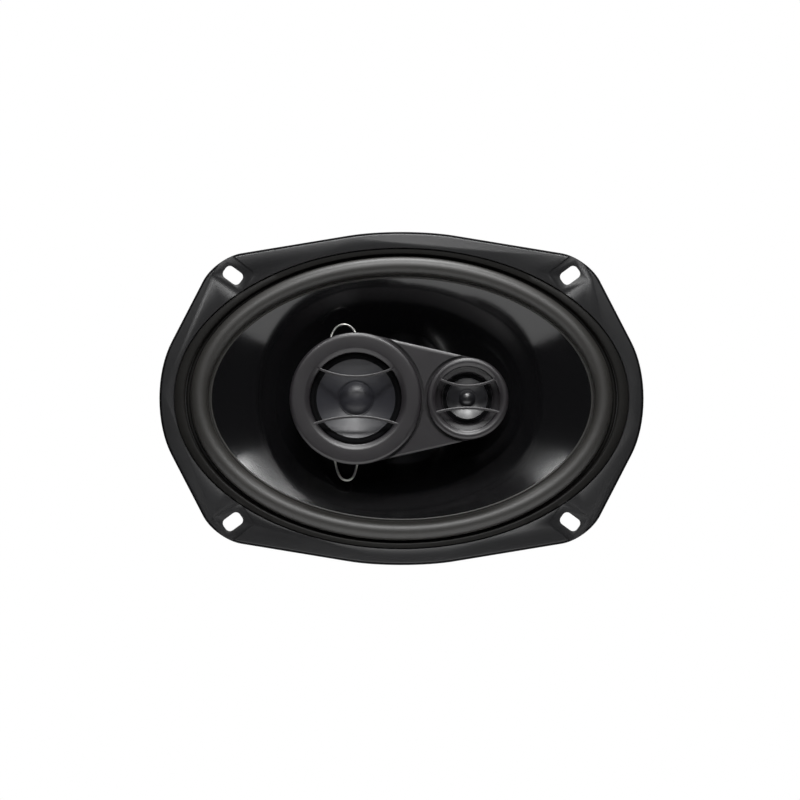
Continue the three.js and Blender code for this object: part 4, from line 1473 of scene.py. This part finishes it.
class SPEAKER_OT_crossover(bpy.types.Operator):
    """Makes the two crossover capacitors inside the pod"""

    bl_idname = "speaker.crossover"
    bl_label = "Crossover"

    def execute(self, context):
        for node in ("midrange_capacitor", "tweeter_capacitor"):
            low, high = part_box(node)
            middle = [(a + b) / 2 for a, b in zip(low, high)]
            radius = (high[0] - low[0]) / 2 / MM
            half = (high[2] - low[2]) / 2 / MM
            rings = [(radius - 0.9, -half), (radius - 0.4, -half + 0.15), (radius, -half + 0.6),
                     (radius, half - 1.6), (radius - 0.35, half - 1.3), (radius, half - 1),
                     (radius - 0.2, half - 0.3), (radius - 0.8, half)]
            can = spun(node + "_can", rings, 40, hollow=False)
            can.rotation_euler = (-math.pi / 2, 0, 0)
            settle(can)
            can.location = middle
            stand_for(smooth(settle(can), 40), node)
        return {"FINISHED"}


# ---- small drivers ----


def small_motor(prefix, x, bore, pole):
    """Top plate, magnet and yoke of a small driver."""
    rear, front = forward_of(prefix + "_top_plate")
    outer = radius_of(prefix + "_top_plate")
    plate = turned_part(prefix + "_plate", ring_profile(bore, outer, rear, front), 64, x, 0.15)
    stand_for(plate, prefix + "_top_plate")
    rear, front = forward_of(prefix + "_magnet")
    ring = ring_profile(bore + 1, radius_of(prefix + "_magnet"), rear, front)
    stand_for(turned_part(prefix + "_magnet_ring", ring, 64, x, 0.35), prefix + "_magnet")
    rear, front = forward_of(prefix + "_yoke")
    back = forward_of(prefix + "_magnet")[0] - GAP
    outer = radius_of(prefix + "_yoke")
    profile = [(outer, rear), (outer, back), (pole, back), (pole, front)]
    yoke = turned_part(prefix + "_pole_piece", profile, 64, x, 0.15, hollow=False)
    stand_for(yoke, prefix + "_yoke")


class SPEAKER_OT_midrange(bpy.types.Operator):
    """Makes the midrange: frame, cone, cap, surround, spider, coil and motor"""

    bl_idname = "speaker.midrange"
    bl_label = "Midrange"

    def execute(self, context):
        x = MID_X
        body = "midrange_diaphragm"
        shell = [(8.6, -1), (16.2, -1), (16.2, 2.4), (26.2, 8.2), (29.2, 8.2), (29.2, 9.9),
                 (24.9, 9.9), (24.9, 8.3), (23.1, 8.3), (15, 2.2), (15, 0.2), (8.6, 0.2)]
        stand_for(turned_part("midrange_basket", shell, 96, x, 0.2), "midrange_frame")
        face = [(19.2, 8.45), (19.6, 8.75)] + arc((21.3, 8.7), 1.5, 1.1, 175, 5, 12)
        face += [(23.3, 9), (24.6, 9)]
        roll = turned_part("midrange_roll", thin(face, 0.35), 96, x, 0)
        # The surround gets the near-black finish of painted shade, for the shadow it lies in behind the
        # ring.
        stand_for(roll, "midrange_surround", None, "painted_shade_black")
        bend(roll, body, 20, 23, round_radius(x))
        cone = [(7.8, 3), (8.8, 3.5), (10.5, 4.25), (13, 5.3), (16, 6.6), (18.6, 7.6), (19.4, 8.05),
                (20.2, 8.2)]
        shaped = turned_part("midrange_cone_paper", thin(cone, 0.45), 112, x, 0)
        stand_for(shaped, "midrange_cone", body)
        dome = [(7.6, 3.8), (8.35, 3.85), (8.3, 4.05)] + arc((0, -2), 10.6, 9.3, 40, 88.5, 16)
        cap = spun("midrange_cap", dome, 72, x, hollow=False)
        stand_for(smooth(cap, 50), "midrange_dust_cap", body)
        coil = turned_part("midrange_coil", ring_profile(7, 7.45, *forward_of("midrange_voice_coil")),
                           64, x, 0)
        stand_for(coil, "midrange_voice_coil", body)
        rear, front = forward_of("midrange_spider")
        middle = (front + rear + 0.35) / 2
        swing = (front - rear - 0.35) / 2
        face = [(7.8, middle)] + corrugations(8.2, 13.4, middle, swing, 3, 32) + [(14.2, middle)]
        spider = turned_part("midrange_spider_disc", thin(face, 0.35), 64, x, 0)
        stand_for(spider, "midrange_spider", None)
        bend(spider, body, 8.2, 13.4, round_radius(x))
        small_motor("midrange", x, 7.9, 6.4)
        return {"FINISHED"}


class SPEAKER_OT_tweeter(bpy.types.Operator):
    """Makes the tweeter: horn, diaphragm, surround, coil and motor"""

    bl_idname = "speaker.tweeter"
    bl_label = "Tweeter"

    def execute(self, context):
        x = TWEETER_X
        body = "tweeter_diaphragm_body"
        horn = [(11.2, 4.3), (14, 4.3), (14, 8.2), (17.2, 8.2), (17.2, 9.9), (15.5, 9.9),
                (15.2, 9.75), (14.6, 9.3), (13.6, 8.9), (12.9, 8.3), (12.4, 7.7), (12.3, 6.9),
                (12.3, 6.4), (11.2, 6.4)]
        stand_for(turned_part("tweeter_horn", horn, 80, x, 0), "tweeter_frame")
        face = [(10.1, 7)] + arc((10.7, 7), 0.45, 0.45, 180, 0, 8) + [(11.4, 7), (12.1, 7)]
        roll = turned_part("tweeter_roll", thin(face, 0.25), 72, x, 0)
        # The surround gets the near-black finish of painted shade, for the shadow inside the horn.
        stand_for(roll, "tweeter_surround", None, "painted_shade_black")
        bend(roll, body, 10.2, 11.2, round_radius(x))
        flare = [(9.9, 6.7), (8.4, 6.25), (6.6, 5.6), (5.2, 5.05), (4.55, 4.85)]
        dome = arc((0, 4.1), 4.3, 3.5, 12, 87, 14)
        under = [(radius, forward - 0.28) for radius, forward in reversed(flare)]
        skin = [(4.2, 4.56)] + under + flare + dome
        piece = spun("tweeter_membrane", skin, 80, x, hollow=False)
        stand_for(smooth(piece, 45), "tweeter_diaphragm", body)
        coil = ring_profile(4.2, 4.6, *forward_of("tweeter_voice_coil"))
        stand_for(turned_part("tweeter_coil", coil, 48, x, 0), "tweeter_voice_coil", body)
        small_motor("tweeter", x, 5.1, 3.8)
        return {"FINISHED"}


# ---- stage ----

SIDEWAYS = (1, 0, 0)
LIGHTS = (  # name, place, size, power and the direction of the long side
    ("soft_box_left", (-0.405, -0.825, 0.61), (0.22, 0.03), 2.4, (-0.19, -0.21, -0.38)),
    ("soft_box_right", (0.365, -0.775, 0.7), (0.42, 0.03), 4.4, (0.22, -0.21, -0.34)),
    ("top_strip", (0, -0.78, 0.78), (0.36, 0.14), 9, SIDEWAYS),
    ("overhead", (0, -0.1, 1.15), (0.6, 0.12), 18, SIDEWAYS),
    ("front_upper", (0, -1.1, 0.42), (0.22, 0.16), 1.8, SIDEWAYS),
    ("front_lower", (0, -1.1, -0.2), (0.2, 0.12), 0.1, SIDEWAYS),
    ("rear_left", (-0.9, 1.1, 0.7), (0.7, 0.7), 12, SIDEWAYS),
    ("rear_right", (0.9, 1.1, 0.7), (0.7, 0.7), 12, SIDEWAYS),
)
CAMERA_DISTANCE = 1.086  # m in front of the flange's face
CAMERA_OFFSET = 0.73  # mm that the camera stands left of and below the axis


def add_light(name, place, size, power, along):
    """A soft box that faces the speaker, its long side turned to lie along a direction."""
    deselect()
    bpy.ops.object.light_add(type="AREA", location=place)
    light = bpy.context.object
    light.name = name
    light.data.shape = "RECTANGLE"
    light.data.size, light.data.size_y = size
    light.data.energy = power
    back = Vector(place).normalized()
    side = Vector(along)
    side = (side - side.dot(back) * back).normalized()
    light.rotation_euler = Matrix((side, back.cross(side), back)).transposed().to_euler()
    return light


def world():
    """White to the camera, and a dim room to the speaker's own reflections."""
    surroundings = bpy.data.worlds.new("studio")
    bpy.context.scene.world = surroundings
    surroundings.use_nodes = True
    nodes = surroundings.node_tree.nodes
    links = surroundings.node_tree.links
    background = nodes["Background"]
    seen = nodes.new("ShaderNodeLightPath")
    colour = nodes.new("ShaderNodeMix")
    colour.data_type = "RGBA"
    colour.inputs[6].default_value = (0.035, 0.035, 0.037, 1)
    colour.inputs[7].default_value = (1, 1, 1, 1)
    links.new(seen.outputs["Is Camera Ray"], colour.inputs[0])
    links.new(colour.outputs[2], background.inputs["Color"])


class SPEAKER_OT_stage(bpy.types.Operator):
    """Sets the pale floor, the soft boxes, the surroundings and the camera"""

    bl_idname = "speaker.stage"
    bl_label = "Stage"

    def execute(self, context):
        deselect()
        bpy.ops.mesh.primitive_circle_add(
            vertices=96, radius=0.5, fill_type="NGON", location=(0, 0, -0.3)
        )
        floor = context.object
        floor.name = "studio_floor"
        finish = Finish("studio_floor", {"Base Color": (0.9, 0.9, 0.9), "Roughness": 0.9})
        floor.data.materials.append(finish.material)
        for row in LIGHTS:
            add_light(*row)
        bpy.context.scene.view_settings.view_transform = "Standard"
        world()
        place = (-CAMERA_OFFSET * MM, -CAMERA_DISTANCE - FLANGE_FRONT * MM, -CAMERA_OFFSET * MM)
        bpy.ops.object.camera_add(location=place, rotation=(math.pi / 2, 0, 0))
        camera = context.object
        camera.name = "camera"
        camera.data.lens = 100
        camera.data.sensor_width = 36
        camera.data.clip_start = 0.01
        context.scene.camera = camera
        return {"FINISHED"}


# ---- add-on -------------------------------------------------------------------------------------

STEPS = (
    SPEAKER_OT_stage, SPEAKER_OT_basket, SPEAKER_OT_surround, SPEAKER_OT_cone, SPEAKER_OT_spider,
    SPEAKER_OT_voice_coil, SPEAKER_OT_motor, SPEAKER_OT_post, SPEAKER_OT_terminals,
    SPEAKER_OT_wiring, SPEAKER_OT_pod_housing, SPEAKER_OT_pod_faceplate, SPEAKER_OT_bezels,
    SPEAKER_OT_crossover, SPEAKER_OT_midrange, SPEAKER_OT_tweeter,
)


class SPEAKER_PT_panel(bpy.types.Panel):
    """Lists the sizes, the colours and the building steps"""

    bl_idname = "SPEAKER_PT_panel"
    bl_label = "Coaxial Speaker"
    bl_space_type = "VIEW_3D"
    bl_region_type = "UI"
    bl_category = "Speaker"

    def draw(self, context):
        layout = self.layout
        for group in (context.scene.speaker_sizes, context.scene.speaker_colours):
            box = layout.box()
            for name in group.__annotations__:
                box.prop(group, name)
        for step in STEPS:
            layout.operator(step.bl_idname)


CLASSES = (SpeakerSizes, SpeakerColours, *STEPS, SPEAKER_PT_panel)


def register():
    """Adds the classes and the scene's two groups of properties."""
    for cls in CLASSES:
        bpy.utils.register_class(cls)
    bpy.types.Scene.speaker_sizes = bpy.props.PointerProperty(type=SpeakerSizes)
    bpy.types.Scene.speaker_colours = bpy.props.PointerProperty(type=SpeakerColours)


def unregister():
    """Removes what register added."""
    del bpy.types.Scene.speaker_colours
    del bpy.types.Scene.speaker_sizes
    for cls in reversed(CLASSES):
        bpy.utils.unregister_class(cls)


def main():
    """Builds the speaker."""
    register()
    for step in STEPS:
        group, name = step.bl_idname.split(".")
        getattr(getattr(bpy.ops, group), name)()


if __name__ == "__main__":
    main()
